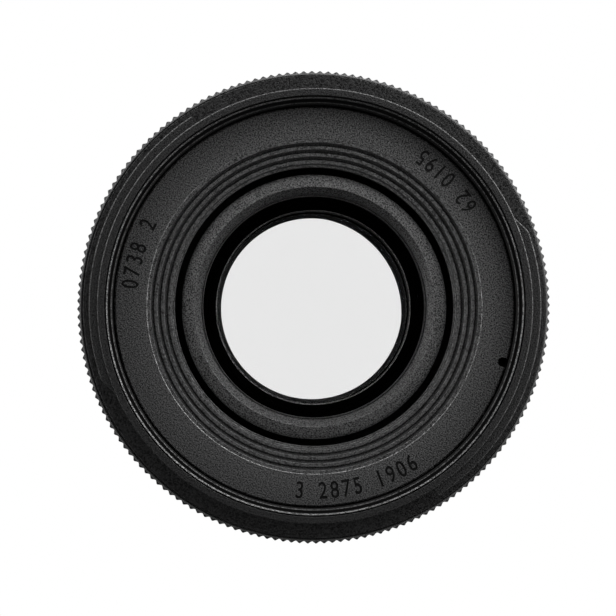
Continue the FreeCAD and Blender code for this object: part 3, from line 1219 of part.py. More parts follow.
def iris_blades():
    pin_x = d.pivot_circle + d.cam_arm * math.cos(math.radians(180 - d.cam_arm_azimuth))
    pin_y = d.cam_arm * math.sin(math.radians(180 - d.cam_arm_azimuth))
    tab_start = -d.tab_margin
    tab_end = cam_pin_place(0)[1] + d.tab_margin
    for number in range(int(d.blade_count)):
        body = new_body("iris_blade_%d" % (number + 1))
        low = blades_bottom + number * d.blade_pitch
        high = low + d.blade_thickness
        turned(body, "leaf", [(d.blade_inner, low), (d.blade_outer, low), (d.blade_outer, high),
                              (d.blade_inner, high)],
               sweep=d.blade_angle, azimuth=d.blade_angle / 2 - 1)
        tab_outer = d.blade_outer + d.tab_width - d.ring_gap
        turned(body, "tab", [(d.blade_outer - d.ring_gap, low), (tab_outer, low),
                             (tab_outer, high), (d.blade_outer - d.ring_gap, high)],
               sweep=tab_end - tab_start, azimuth=(tab_end + tab_start) / 2)
        posts(body, "pivot_pin", [(d.pivot_circle, 0, d.pin_radius)],
              base_bottom + d.glass_gap, low)
        posts(body, "cam_pin", [(pin_x, pin_y, d.pin_radius)], high, cam_top - d.glass_gap)
        turn = number * 360 / d.blade_count
        body.Placement = FreeCAD.Placement(FreeCAD.Vector(0, 0, 0),
                                           FreeCAD.Rotation(FreeCAD.Vector(0, 0, 1), float(turn)))
        bind(body, "Placement.Rotation.Angle", turn)


def cam_slot(body):
    """One cam slot: the cam pin's path over the turning ring, as wide as the pin needs."""
    spots = []
    for part in (0, 0.5, 1):
        radius, angle = cam_pin_place(blade_swing * part)
        angle = math.radians(angle - d.cam_turn * part)
        spots.append(FreeCAD.Vector(radius * math.cos(angle), radius * math.sin(angle), 0))
    centre = Part.Circle(*spots).Center
    half = float(d.pin_radius + d.running_gap)
    sketch = new_sketch(body, "slot_path", "XY_Plane", cam_top)

    def off(spot, distance):
        return centre + (spot - centre).normalize() * ((spot - centre).Length + distance)

    def beyond(spot, towards):
        heading = (spot - centre).cross(FreeCAD.Vector(0, 0, 1)).normalize()
        if heading.dot(towards) < 0:
            heading = -heading
        return spot + heading * half

    outer = Part.Arc(*[off(spot, half) for spot in spots])
    inner = Part.Arc(*[off(spot, -half) for spot in spots])
    start = Part.Arc(off(spots[0], half), beyond(spots[0], spots[0] - spots[1]), off(spots[0], -half))
    end = Part.Arc(off(spots[2], half), beyond(spots[2], spots[2] - spots[1]), off(spots[2], -half))
    for index, curve in enumerate((outer, inner, start, end)):
        sketch.addGeometry(curve, False)
        sketch.addConstraint(Sketcher.Constraint("Block", index))
    return raised(body, "slot", sketch, cam_top - cam_bottom, cut=True)


def gear_flank(teeth, pitch_radius, inner, outer):
    """Radius and half angle of an involute gear tooth, from its root to its tip."""
    base = float(pitch_radius) * math.cos(math.radians(20))

    def unrolled(radius):
        slope = math.acos(min(1, base / radius))
        return math.tan(slope) - slope

    middle = (math.pi * pitch_radius / teeth - d.backlash) / 2 / pitch_radius
    flank = []
    for part in (0, 0.25, 0.5, 0.75, 1):
        radius = float(inner) + (float(outer) - float(inner)) * part
        flank.append((radius, float(middle) + unrolled(float(pitch_radius)) - unrolled(radius)))
    return flank


def iris_cam_ring():
    body = ring("iris_cam_ring", d.cam_ring_bore, d.iris_radius - d.running_gap, cam_bottom, cam_top)
    slot = cam_slot(body)
    around(body, "slots", [slot], d.blade_count)
    edge = d.iris_radius - d.sector_rise
    rim = d.sector_radius + d.sector_addendum
    pitch = 360 / d.sector_teeth
    first = -math.ceil(d.cam_turn / pitch)
    spaces = 2 - first
    turned(body, "sector", [(edge, cam_bottom), (rim, cam_bottom), (rim, cam_top), (edge, cam_top)],
           sweep=pitch * (spaces + 0.8), azimuth=d.iris_azimuth + pitch * (first + 1) / 2)
    low = d.sector_radius - d.pinion_addendum - d.tooth_clearance
    flank = gear_flank(d.sector_teeth, d.sector_radius, low, rim)
    half_pitch = math.pi / d.sector_teeth
    sides = [(radius, half_pitch - half) for radius, half in flank]
    sides.append((rim + d.over_cut, sides[-1][1]))
    corners = [(radius * math.cos(half), -radius * math.sin(half)) for radius, half in sides[::-1]]
    corners += [(radius * math.cos(half), radius * math.sin(half)) for radius, half in sides]
    sketch = new_sketch(body, "tooth_space", "XY_Plane", cam_top, d.iris_azimuth + first * pitch)
    outline(sketch, corners)
    space = raised(body, "tooth_cut", sketch, cam_top - cam_bottom, cut=True)
    around(body, "teeth", [space], spaces, pitch * (spaces - 1))
    ring("iris_cover", d.iris_cover_bore, d.iris_radius - d.glass_gap, iris_cover_bottom,
         cup_top - d.cup_face)


def iris_drive():
    motor = new_body("iris_motor")
    posts(motor, "case", [(pinion_circle, 0, d.iris_motor_radius)],
          cup_bottom - d.iris_motor_length, cup_bottom, d.iris_azimuth)
    holes(motor, "bore", [(pinion_circle, 0, d.pin_radius + d.glass_gap)],
          cup_bottom - d.iris_shaft_seat, cup_bottom, d.iris_azimuth)
    pinion = new_body("iris_pinion")
    posts(pinion, "shaft", [(pinion_circle, 0, d.pin_radius)],
          cup_bottom - d.iris_shaft_seat + d.loose_gap, cam_bottom, d.iris_azimuth)
    tip = d.pinion_radius + d.pinion_addendum
    root_radius = d.pinion_radius - d.sector_addendum - d.tooth_clearance
    corners = []
    for tooth in range(int(d.pinion_teeth)):
        middle = math.pi + 2 * math.pi * tooth / d.pinion_teeth
        flank = gear_flank(d.pinion_teeth, d.pinion_radius, root_radius, tip)
        for radius, half in [(r, -h) for r, h in flank] + flank[::-1]:
            corners.append((pinion_circle + radius * math.cos(middle + half),
                            radius * math.sin(middle + half)))
    sketch = new_sketch(pinion, "gear_outline", "XY_Plane", cam_bottom, d.iris_azimuth)
    outline(sketch, corners)
    raised(pinion, "gear", sketch, cam_top - cam_bottom)


def check(shapes):
    """Stop if a feature failed or a piece isn't a sound solid."""
    doc.recompute()
    for item in doc.Objects:
        if "Invalid" in item.State or "Error" in item.State:
            raise RuntimeError("%s failed: %s" % (item.Name, item.State))
    for item in shapes:
        if item.Shape.isNull() or not item.Shape.isValid() or not item.Shape.Solids:
            raise RuntimeError("%s is not a sound solid" % item.Label)


def main():
    for make in (mount_ring, mount_screws, contacts, rear_baffle, rear_cover, index_dot, switch,
                 inner_frame, ring_readers, main_board, chassis_plate, guide_rods, rod_holder,
                 focus_drive, home_sensor, focus_ring, front_ring, name_plate, lens_barrel,
                 front_bezel, glass, rear_cell, iris_base, iris_blades, iris_cam_ring, iris_drive):
        make()
    check(nodes)
    os.makedirs("parts", exist_ok=True)
    for item in nodes:
        item.Shape.exportStep("parts/%s.step" % item.Label)
    print("%d sub-parts, blade swing %.2f degrees, %.4f per degree of the cam ring"
          % (len(nodes), blade_swing, swing_per_turn))


main()
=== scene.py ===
"""Looks of a standard prime lens. Lengths are in millimetres until MM turns them into metres,
angles in degrees, and outlines lists of (radius, height). +Z points forward along the optical
axis, from the flange of the mount."""

import json
import math

import bmesh
import bpy
from mathutils import Matrix, Vector


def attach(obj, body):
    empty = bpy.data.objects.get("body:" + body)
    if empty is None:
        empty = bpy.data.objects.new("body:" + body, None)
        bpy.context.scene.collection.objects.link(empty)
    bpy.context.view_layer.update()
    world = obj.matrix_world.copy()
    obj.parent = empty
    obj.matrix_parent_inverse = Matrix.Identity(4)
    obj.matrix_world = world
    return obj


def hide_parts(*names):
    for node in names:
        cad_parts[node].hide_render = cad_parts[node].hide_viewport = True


MM = 0.001
ROUND_STEPS, FINE_STEPS, SCREW_STEPS, HOLE_STEPS, GLASS_STEPS = 360, 720, 64, 48, 180
SMOOTH_ANGLE = math.radians(32)
NOISE_LOW, NOISE_HIGH = 0.38, 0.62

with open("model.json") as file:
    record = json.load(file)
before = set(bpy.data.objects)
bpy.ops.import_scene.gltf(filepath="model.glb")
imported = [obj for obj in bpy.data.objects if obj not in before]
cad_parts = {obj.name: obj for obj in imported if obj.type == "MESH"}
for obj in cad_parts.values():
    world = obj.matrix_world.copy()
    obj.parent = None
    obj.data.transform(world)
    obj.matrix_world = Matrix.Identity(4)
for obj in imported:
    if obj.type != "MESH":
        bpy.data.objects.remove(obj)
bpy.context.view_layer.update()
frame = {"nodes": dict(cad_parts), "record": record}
scene = bpy.context.scene


# Finishes

def new_material(name, colour, rough, metal=0.0):
    """A material and its shader."""
    mat = bpy.data.materials.new(name)
    mat.use_nodes = True
    shader = mat.node_tree.nodes["Principled BSDF"]
    shader.inputs["Base Color"].default_value = (*colour, 1.0)
    shader.inputs["Roughness"].default_value = rough
    shader.inputs["Metallic"].default_value = metal
    mat.diffuse_color = (*colour, 1.0)
    return mat, shader


def add_node(mat, kind, **settings):
    """A node whose settings are values of its sockets or properties."""
    item = mat.node_tree.nodes.new(kind)
    for key, value in settings.items():
        if key in item.inputs:
            item.inputs[key].default_value = value
        else:
            setattr(item, key, value)
    return item


def link(mat, source, output, target, entry):
    mat.node_tree.links.new(source.outputs[output], target.inputs[entry])


def noise(mat, size, detail=2.0, stretch=(1, 1, 1)):
    """Noise whose grains are about size millimetres across."""
    place = add_node(mat, "ShaderNodeTexCoord")
    scale = add_node(mat, "ShaderNodeMapping")
    scale.inputs["Scale"].default_value = stretch
    texture = add_node(mat, "ShaderNodeTexNoise", Scale=1 / (size * MM), Detail=detail)
    link(mat, place, "Object", scale, "Vector")
    link(mat, scale, "Vector", texture, "Vector")
    return texture


def vary(mat, shader, texture, entry, low, high):
    """Let a texture move one socket of the shader between two values."""
    spread = add_node(mat, "ShaderNodeMapRange")
    for key, value in (("From Min", NOISE_LOW), ("From Max", NOISE_HIGH),
                       ("To Min", low), ("To Max", high)):
        spread.inputs[key].default_value = value
    link(mat, texture, 0, spread, "Value")
    link(mat, spread, "Result", shader, entry)


def tint(mat, shader, texture, dark, light):
    """Let a texture move the base colour between two colours."""
    ramp = add_node(mat, "ShaderNodeValToRGB")
    ramp.color_ramp.elements[0].position = 0.35
    ramp.color_ramp.elements[1].position = 0.65
    ramp.color_ramp.elements[0].color = (*dark, 1)
    ramp.color_ramp.elements[1].color = (*light, 1)
    link(mat, texture, 0, ramp, "Fac")
    link(mat, ramp, "Color", shader, "Base Color")


def bump(mat, shader, texture, depth):
    """Let a texture lift the surface by a depth in millimetres."""
    lift = add_node(mat, "ShaderNodeBump", Strength=1.0, Distance=depth * MM)
    link(mat, texture, 0, lift, "Height")
    link(mat, lift, "Normal", shader, "Normal")


def plastic(name, shade, rough, grain_size=0.16, grain_depth=0.012, contrast=0.25, sparkle=0.0,
            mirror=0.5):
    """Moulded plastic with a spark-eroded grain, whose peaks mirror more where it sparkles."""
    mat, shader = new_material(name, shade, rough)
    grain = noise(mat, grain_size, 3.0)
    tint(mat, shader, grain, [channel * (1 - contrast) for channel in shade],
         [channel * (1 + contrast) for channel in shade])
    vary(mat, shader, grain, "Roughness", rough + 0.06, rough - 0.06)
    vary(mat, shader, grain, "Specular IOR Level", mirror * (1 - sparkle), mirror * (1 + sparkle))
    bump(mat, shader, grain, grain_depth)
    return mat


def satin_black(name, shade, mirror=0.5):
    """The strongly grained black finish of the lens's front."""
    return plastic(name, (shade, shade, shade * 1.03), 0.45, 0.2, 0.05, 0.7, 0.8, mirror)


def turned_metal(name, shade, rough, groove=0.05, depth=0.002):
    """Metal with fine marks round the optical axis."""
    mat, shader = new_material(name, shade, rough, 1.0)
    place = add_node(mat, "ShaderNodeTexCoord")
    flat = add_node(mat, "ShaderNodeVectorMath", operation="MULTIPLY")
    flat.inputs[1].default_value = (1, 1, 0)
    radius = add_node(mat, "ShaderNodeVectorMath", operation="LENGTH")
    marks = add_node(mat, "ShaderNodeTexNoise", Scale=1 / (groove * MM), Detail=2.0)
    link(mat, place, "Object", flat, 0)
    link(mat, flat, 0, radius, 0)
    link(mat, radius, "Value", marks, "Vector")
    vary(mat, shader, marks, "Roughness", rough - 0.05, rough + 0.07)
    bump(mat, shader, marks, depth)
    return mat


def plain_metal(name, shade, rough, grain=0.3):
    """Metal with faint smears."""
    mat, shader = new_material(name, shade, rough, 1.0)
    smear = noise(mat, grain, 2.0, (1, 1, 0.15))
    tint(mat, shader, smear, [c * 0.85 for c in shade], [min(1, c * 1.1) for c in shade])
    vary(mat, shader, smear, "Roughness", rough - 0.06, rough + 0.08)
    return mat


def glass(name, colour, held):
    """Coated glass: it mirrors the share of the light that it holds back, the rest passes."""
    mat, shader = new_material(name, colour, 0.03, 1.0)
    shader.inputs["Alpha"].default_value = held
    smudge = noise(mat, 4.0, 2.0)
    vary(mat, shader, smudge, "Roughness", 0.02, 0.05)
    return mat


# Plastics have a colour, roughness, grain size and depth in millimetres, contrast and sparkle.
# Metals have a colour, roughness and the size of their marks.
FINISHES = {
    "black_satin": satin_black("black_satin", 0.004),
    "black_ring": plastic("black_ring", (0.004, 0.004, 0.0041), 0.45, 0.2, 0.015, 0.4, 0.5),
    "switch_black": plastic("switch_black", (0.03, 0.03, 0.03), 0.4, 0.12, 0.004),
    "index_white": plastic("index_white", (0.75, 0.75, 0.74), 0.3, 0.3, 0.002, 0.03),
    "chrome_mount": turned_metal("chrome_mount", (0.62, 0.61, 0.60), 0.3),
    "steel": plain_metal("steel", (0.42, 0.42, 0.43), 0.32),
    "black_plastic": plastic("black_plastic", (0.007, 0.007, 0.007), 0.6, 0.2, 0.006, 0.2),
    "gold": plain_metal("gold", (0.83, 0.58, 0.2), 0.25, 0.2),
    "board_green": plastic("board_green", (0.012, 0.09, 0.035), 0.35, 0.5, 0.003),
    "bare_aluminium": turned_metal("bare_aluminium", (0.5, 0.5, 0.51), 0.35),
    "motor_case": plain_metal("motor_case", (0.5, 0.5, 0.5), 0.3),
    "brass": plain_metal("brass", (0.7, 0.5, 0.22), 0.28, 0.2),
    "strip_silver": plain_metal("strip_silver", (0.55, 0.55, 0.56), 0.3),
    "flex_amber": plastic("flex_amber", (0.45, 0.18, 0.02), 0.25, 0.4, 0.002),
    "iris_black": plastic("iris_black", (0.012, 0.012, 0.013), 0.38, 0.15, 0.002, 0.15),
    "coated_glass": glass("coated_glass", (0.012, 0.013, 0.016), 0.028),
}


def matt_black_and_painted_shade(name, shade, mirror=0.08, rough=0.85):
    """Matt black that hardly mirrors: painted shade in deep gaps and on the thread, and the black
    lining of walls.
    """
    mat, shader = new_material(name, (shade, shade, shade), rough)
    shader.inputs["Specular IOR Level"].default_value = mirror
    bump(mat, shader, noise(mat, 0.1), 0.003)
    return mat


# Painted shade: a black far darker than the satin around it, for the deep gap inside the lip and
# for the notch
gap_painted_shade = matt_black_and_painted_shade("gap_painted_shade", 0.001)
# The thread's black is partly its own and partly painted shade: darker and far less mirroring than
# the ring's satin
thread_black_painted_shade = matt_black_and_painted_shade("thread_black_painted_shade", 0.001, 0.03, 0.5)
lining = matt_black_and_painted_shade("lining_black", 0.0002, 0.0)
# The engraved strokes are darker and duller than the plate they are cut into: painted shade in the
# strokes
engraving_shade = plastic("engraving_painted_shade", (0.0016, 0.0016, 0.0016), 0.4, 0.12, 0.004, 0.3, mirror=0.12)
satin = FINISHES["black_satin"]
dim_satin = satin_black("dim_satin", 0.0017, 0.15)
# A copy of the front ring's satin that mirrors about twice as much: a painted highlight for the
# bevel above the thread
bevel_painted_highlight = satin_black("bevel_painted_highlight", 0.0017, 0.32)
cover_satin = plastic("cover_satin", (0.004, 0.004, 0.0041), 0.45, 0.2, 0.02, 0.4, 0.4)
NODE_SLOT = {item["node"]: item["material_slot"] for item in frame["record"]["subparts"]}
NODE_BODY = {node: body for body, nodes in frame["record"]["behaviour"]["bodies"].items()
             for node in nodes}


# Meshes

ARC_STEPS, CORNER_SHARE, HOLD = 3, 0.3, 1.5


def soften(outline, size, closed):
    """An outline whose corners are small arcs, held on both sides so that flats shade flat."""
    points = [Vector((x, z)) for x, z in outline]
    count = len(points)
    result = []
    for index, corner in enumerate(points):
        if not closed and index in (0, count - 1):
            result.append(corner)
            continue
        before = points[index - 1] - corner
        after = points[(index + 1) % count] - corner
        reach = min(size, before.length * CORNER_SHARE, after.length * CORNER_SHARE)
        start = before.normalized() * reach
        end = after.normalized() * reach
        result.append(corner + start * HOLD)
        for step in range(ARC_STEPS + 1):
            t = step / ARC_STEPS
            result.append(corner + start * (1 - t) ** 2 + end * t ** 2)
        result.append(corner + end * HOLD)
    return result


def new_object(name, data):
    """An object in the scene."""
    obj = bpy.data.objects.new(name, data)
    scene.collection.objects.link(obj)
    return obj


def shade_evenly(obj):
    """Round faces shade smooth, and flats and sharp edges stay what they are."""
    obj.data.set_sharp_from_angle(angle=SMOOTH_ANGLE)
    weigh = obj.modifiers.new("even", "WEIGHTED_NORMAL")
    weigh.keep_sharp = True


def finish_mesh(name, mesh, mat, closed=True):
    """A shaded object from a mesh, with outward normals if the mesh is closed."""
    work = bmesh.new()
    work.from_mesh(mesh)
    bmesh.ops.remove_doubles(work, verts=work.verts, dist=1e-7)
    if closed:
        bmesh.ops.recalc_face_normals(work, faces=work.faces)
    work.to_mesh(mesh)
    work.free()
    mesh.materials.append(mat)
    mesh.polygons.foreach_set("use_smooth", [True] * len(mesh.polygons))
    obj = new_object(name, mesh)
    shade_evenly(obj)
    return obj


def sweep_mesh(name, rows, wrap_rows, wrap_columns, caps=False):
    """A mesh from a grid of points, open or joined up in each direction."""
    height, width = len(rows), len(rows[0])
    points = [point for row in rows for point in row]
    faces = []
    for i in range(height if wrap_rows else height - 1):
        row, next_row = i * width, (i + 1) % height * width
        for j in range(width if wrap_columns else width - 1):
            k = (j + 1) % width
            faces.append((row + j, row + k, next_row + k, next_row + j))
    if caps:
        faces.append(tuple(range(width)))
        faces.append(tuple((height - 1) * width + j for j in range(width)))
    mesh = bpy.data.meshes.new(name)
    mesh.from_pydata(points, [], faces)
    return mesh


def spot(radius, angle):
    """A place across the optical axis, in millimetres."""
    turn = math.radians(angle)
    return (radius * math.cos(turn), radius * math.sin(turn))


def at(radius, angle, height):
    """A point in metres from cylinder coordinates in millimetres and degrees."""
    x, y = spot(radius, angle)
    return (x * MM, y * MM, height * MM)


def lathe(name, outline, mat, soft=0.12, closed=True, steps=ROUND_STEPS):
    """An outline of (radius, height) turned all the way round."""
    corners = soften(outline, soft, closed) if soft else outline
    rows = [[at(r, 360 * i / steps, z) for r, z in corners] for i in range(steps)]
    return finish_mesh(name, sweep_mesh(name, rows, True, closed), mat, closed)


def arc(name, outline, mat, start, sweep, soft=0.08):
    """An outline turned through part of a circle, with both ends closed."""
    steps = int(sweep)
    corners = soften(outline, soft, True)
    rows = [[at(r, start + sweep * i / steps, z) for r, z in corners] for i in range(steps + 1)]
    return finish_mesh(name, sweep_mesh(name, rows, False, True, True), mat)


def join(name, parts):
    """One object from several."""
    bpy.ops.object.select_all(action="DESELECT")
    for part in parts:
        part.select_set(True)
    bpy.context.view_layer.objects.active = parts[0]
    bpy.ops.object.join()
    parts[0].name = name
    parts[0].data.name = name
    return parts[0]


def shape_object(name, shape, mat):
    """An unshaded object from a shape that isn't needed afterwards."""
    mesh = bpy.data.meshes.new(name)
    shape.to_mesh(mesh)
    shape.free()
    mesh.materials.append(mat)
    return new_object(name, mesh)


def box(name, low, high, mat):
    """A box between two corners in millimetres."""
    low, high = Vector(low), Vector(high)
    shape = bmesh.new()
    bmesh.ops.create_cube(shape, size=1)
    place = Matrix.Translation((low + high) / 2 * MM) @ Matrix.Diagonal((*((high - low) * MM), 1))
    bmesh.ops.transform(shape, verts=shape.verts, matrix=place)
    return shape_object(name, shape, mat)


def rod(name, radius, low, high, mat, steps=HOLE_STEPS, place=(0, 0)):
    """A round post parallel to the optical axis."""
    shape = bmesh.new()
    bmesh.ops.create_cone(shape, cap_ends=True, segments=steps, radius1=radius * MM,
                          radius2=radius * MM, depth=(high - low) * MM,
                          matrix=Matrix.Translation(Vector((*place, (low + high) / 2)) * MM))
    return shape_object(name, shape, mat)


def refinish(obj, mat, chosen):
    """Give another finish to the faces whose radius and height are chosen."""
    obj.data.materials.append(mat)
    for face in obj.data.polygons:
        if chosen(math.hypot(face.center.x, face.center.y) / MM, face.center.z / MM):
            face.material_index = len(obj.data.materials) - 1


def carve(obj, cutters):
    """Cut other objects out of one, and remove them."""
    obj.modifiers.clear()
    cutter = join("cutter", cutters)
    modifier = obj.modifiers.new("carve", "BOOLEAN")
    modifier.operation = "DIFFERENCE"
    modifier.solver = "EXACT"
    modifier.object = cutter
    modifier.use_self = True
    modifier.material_mode = "TRANSFER"
    bpy.context.view_layer.update()
    graph = bpy.context.evaluated_depsgraph_get()
    mesh = bpy.data.meshes.new_from_object(obj.evaluated_get(graph))
    obj.modifiers.clear()
    obj.data = mesh
    bpy.data.objects.remove(cutter)
    shade_evenly(obj)


def stands_for(obj, *nodes):
    """The object rides with these nodes' body and hides them."""
    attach(obj, NODE_BODY[nodes[0]])
    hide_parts(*nodes)


# Front ring, its thread and its hood bayonet

LIP, LIP_IN, LIP_OUT, LIP_EDGE = 72.0, 29.5, 30.53, 0.15
SKIRT_TOP, SKIRT_LOW, SKIRT_TOP_OUT, SKIRT_LOW_OUT = 67.5, 62.3, 32.8, 33.3
THREAD_LOW, THREAD_TOP, THREAD_HIGH = 67.3, 69.9, 71.45
THREAD_CREST, THREAD_ROOT, THREAD_PITCH = 28.6, 29.02, 0.75
THREAD_WALL = THREAD_ROOT + 0.05
CREST_OUT, CREST_DROP, GROOVE_IN, GROOVE_DROP = 29.28, 0.37, 29.34, 0.75
SLEEVE_OUT, SLEEVE_IN, FLOOR_IN, FLOOR_LOW, FLOOR_TOP = 31.1, 28.1, 24.9, 60.0, 61.5
SEAT_IN, SEAT_LOW, SEAT = 27.6, 64.7, 65.7
GAP_TOP, FINE_EDGE = 66.5, 0.04

front_ring = lathe("front_ring_body", [
    (LIP_IN, LIP), (LIP_OUT - LIP_EDGE, LIP), (LIP_OUT, LIP - LIP_EDGE), (LIP_OUT, SKIRT_TOP),
    (SKIRT_TOP_OUT, SKIRT_TOP), (SKIRT_LOW_OUT, SKIRT_LOW), (SLEEVE_OUT, SKIRT_LOW),
    (SLEEVE_OUT, FLOOR_LOW), (FLOOR_IN, FLOOR_LOW), (FLOOR_IN, FLOOR_TOP),
    (SLEEVE_IN, FLOOR_TOP), (SLEEVE_IN, SEAT_LOW), (SEAT_IN, SEAT_LOW), (SEAT_IN, SEAT),
    (THREAD_WALL, SEAT), (THREAD_WALL, THREAD_HIGH), (CREST_OUT, LIP - CREST_DROP),
    (GROOVE_IN, LIP - GROOVE_DROP), (LIP_IN, LIP - GROOVE_DROP)],
    dim_satin, FINE_EDGE, steps=FINE_STEPS)
# Inside the lip below the thread: painted shade
refinish(front_ring, gap_painted_shade, lambda radius, height: radius < LIP_IN and height < GAP_TOP)
# The thread: painted shade
refinish(front_ring, thread_black_painted_shade, lambda radius, height: (
    radius < CREST_OUT and GAP_TOP <= height < THREAD_HIGH - 0.05))
# The bevel above the thread gets the painted highlight
refinish(front_ring, bevel_painted_highlight,
         lambda radius, height: radius < GROOVE_IN and height > THREAD_HIGH)


def thread(name, low, high, crest, root, pitch, mat):
    """The inside of a thread: crests and roots that climb round the axis."""
    shape = ((0.0, crest), (0.12, crest), (0.5, root), (0.62, root), (1.0, crest))
    turns = int((high - low) / pitch) + 3

    def radius(height, angle):
        phase = ((height - pitch * angle / 360) / pitch) % 1.0
        for (a, radius_a), (b, radius_b) in zip(shape, shape[1:]):
            if phase <= b:
                return radius_a + (radius_b - radius_a) * (phase - a) / (b - a)

    rows = []
    for i in range(FINE_STEPS + 1):
        angle = 360 * i / FINE_STEPS
        row = []
        for level in range(-2, turns):
            for start, _ in shape[:-1]:
                height = low + (level + start + angle / 360) * pitch - low % pitch
                height = min(max(height, low), high)
                row.append(at(radius(height, angle), angle, height))
        rows.append(row)
    return finish_mesh(name, sweep_mesh(name, rows, False, False), mat, False)


# The thread is painted shade
filter_thread = thread("filter_thread", THREAD_LOW, THREAD_TOP, THREAD_CREST, THREAD_ROOT,
                       THREAD_PITCH, thread_black_painted_shade)
LEAD_DEPTH, LEAD_BEVEL, LEAD_RISE, LEAD_EDGE = 0.2, 0.14, 0.1, 0.02
# The lead-in is painted shade too, except its top edge, which keeps the ring's satin
thread_lead = lathe("thread_lead", [
    (THREAD_CREST, THREAD_TOP - LEAD_DEPTH), (THREAD_CREST, THREAD_TOP),
    (THREAD_CREST + LEAD_BEVEL, THREAD_TOP + LEAD_RISE), (THREAD_WALL, THREAD_TOP + LEAD_RISE),
    (THREAD_WALL, THREAD_TOP - LEAD_DEPTH)], thread_black_painted_shade, LEAD_EDGE, steps=FINE_STEPS)
refinish(thread_lead, dim_satin,
         lambda radius, height: radius < THREAD_CREST + 0.15 and height > THREAD_TOP - 0.03)

LUG_LOW, LUG_TOP, LUG_FOOT, LUG_REACH, LUG_RISE = 70.2, 71.6, 30.0, 31.73, 1.2
LUG_SWEEP, LUG_RAMP, LUG_STARTS = 81, 4.8, (-40.5, 139.5)


def hood_lug(name, start):
    """A lug of the hood bayonet: square at its start, slanted over the ramp at its end."""
    rows = []
    for i in range(2 * LUG_SWEEP + 1):
        angle = i / 2
        reach = LUG_REACH - LUG_RISE * max(0.0, 1 - (LUG_SWEEP - angle) / LUG_RAMP)
        outline = [(LUG_FOOT, LUG_LOW), (reach, LUG_LOW), (reach, LUG_TOP - LIP_EDGE),
                   (reach - LIP_EDGE, LUG_TOP), (LUG_FOOT, LUG_TOP)]
        rows.append([at(r, start + angle, z) for r, z in soften(outline, FINE_EDGE, True)])
    return finish_mesh(name, sweep_mesh(name, rows, False, True, True), dim_satin)


lugs = [hood_lug("hood_lug_%d" % number, start) for number, start in enumerate(LUG_STARTS)]
stands_for(join("front_ring_detail", [front_ring, filter_thread, thread_lead, *lugs]),
           "front_ring")


# Name plate with engraved plain numbers

PLATE_TOP, PLATE_EDGE, PLATE_FLAT, PLATE_BORE = 67.0, 28.5, 23.89, 20.0
PLATE_LOW, PLATE_DEEP, PLATE_WALL = SEAT, 64.5, 0.65
STEPS, STEP_PITCH, STEP_DROP, STEP_TREAD, STEP_SLANT = 4, 0.95, 0.6, 0.47, 0.18
FIRST_DROP, GROOVE, GROOVE_DEPTH = 0.1, 0.2, 0.35
RIM_DROP, TUBE_LENGTH, REBATE, REBATE_DEPTH = 0.4, 1.3, 0.25, 0.7

cone = [(PLATE_FLAT + PLATE_WALL, PLATE_LOW), (PLATE_FLAT + PLATE_WALL, PLATE_TOP - RIM_DROP),
        (PLATE_FLAT, PLATE_TOP)]
for number in range(STEPS):
    edge = PLATE_BORE + STEP_PITCH * (STEPS - number)
    tread = PLATE_TOP - FIRST_DROP - STEP_DROP * number
    if number:
        cone.append((edge + GROOVE, tread - GROOVE_DEPTH))
    cone += [(edge, tread), (edge - STEP_TREAD, tread)]
    drop = STEP_DROP if number == STEPS - 1 else STEP_DROP + GROOVE_DEPTH
    cone.append((edge - STEP_TREAD - STEP_SLANT, tread - drop))
cone += [(PLATE_BORE, PLATE_DEEP), (PLATE_BORE, PLATE_DEEP - TUBE_LENGTH),
         (PLATE_BORE + PLATE_WALL, PLATE_DEEP - TUBE_LENGTH)]
cone = lathe("plate_cone", cone, satin, FINE_EDGE, steps=FINE_STEPS)
flat = lathe("plate_flat", [
    (PLATE_FLAT, PLATE_TOP), (PLATE_FLAT, PLATE_LOW), (PLATE_EDGE, PLATE_LOW),
    (PLATE_EDGE, PLATE_TOP - REBATE_DEPTH), (PLATE_EDGE - REBATE, PLATE_TOP - REBATE_DEPTH),
    (PLATE_EDGE - REBATE, PLATE_TOP)], satin, 0, steps=FINE_STEPS)

FIGURE_SIZE, FIGURE_CIRCLE, FIGURE_DEPTH, FIGURE_WIDTH, FIGURE_BOLD = 3.4, 26.3, 0.15, 0.76, 0.04


def figure(letter, angle, outward):
    """One figure, to be engraved on a circle round the optical axis."""
    curve = bpy.data.curves.new("figure", "FONT")
    curve.body = letter
    curve.size = FIGURE_SIZE * MM
    curve.align_x = "CENTER"
    curve.align_y = "CENTER"
    curve.extrude = FIGURE_DEPTH * MM
    curve.offset = FIGURE_BOLD * MM
    curve.resolution_u = 6
    obj = new_object("figure", curve)
    bpy.context.view_layer.update()
    graph = bpy.context.evaluated_depsgraph_get()
    mesh = bpy.data.meshes.new_from_object(obj.evaluated_get(graph))
    bpy.data.objects.remove(obj)
    facing = math.radians(angle - 90 if outward else angle + 90)
    mesh.transform(Matrix.Translation(at(FIGURE_CIRCLE, angle, PLATE_TOP))
                   @ Matrix.Rotation(facing, 4, "Z") @ Matrix.Diagonal((FIGURE_WIDTH, 1, 1, 1)))
    # The cut takes the painted shade of the strokes
    mesh.materials.append(engraving_shade)
    return new_object("figure", mesh)


def figures(text, middle, outward, pitch):
    """Figures set side by side round the optical axis."""
    step = math.degrees(pitch / FIGURE_CIRCLE) * (-1 if outward else 1)
    first = middle - step * (len(text) - 1) / 2
    return [figure(letter, first + step * place, outward)
            for place, letter in enumerate(text) if letter != " "]


NOTCH_RADIUS, NOTCH_PLACE = 0.67, 27.87
# Each text with the angle of its middle, whether its tops point outward, and its figures' pitch
TEXTS = (("0738 2", 180, True, 1.77), ("62 0195", 60, False, 1.62),
         ("3 2875 1906", -60, False, 1.67))
cutters = [cutter for text in TEXTS for cutter in figures(*text)]
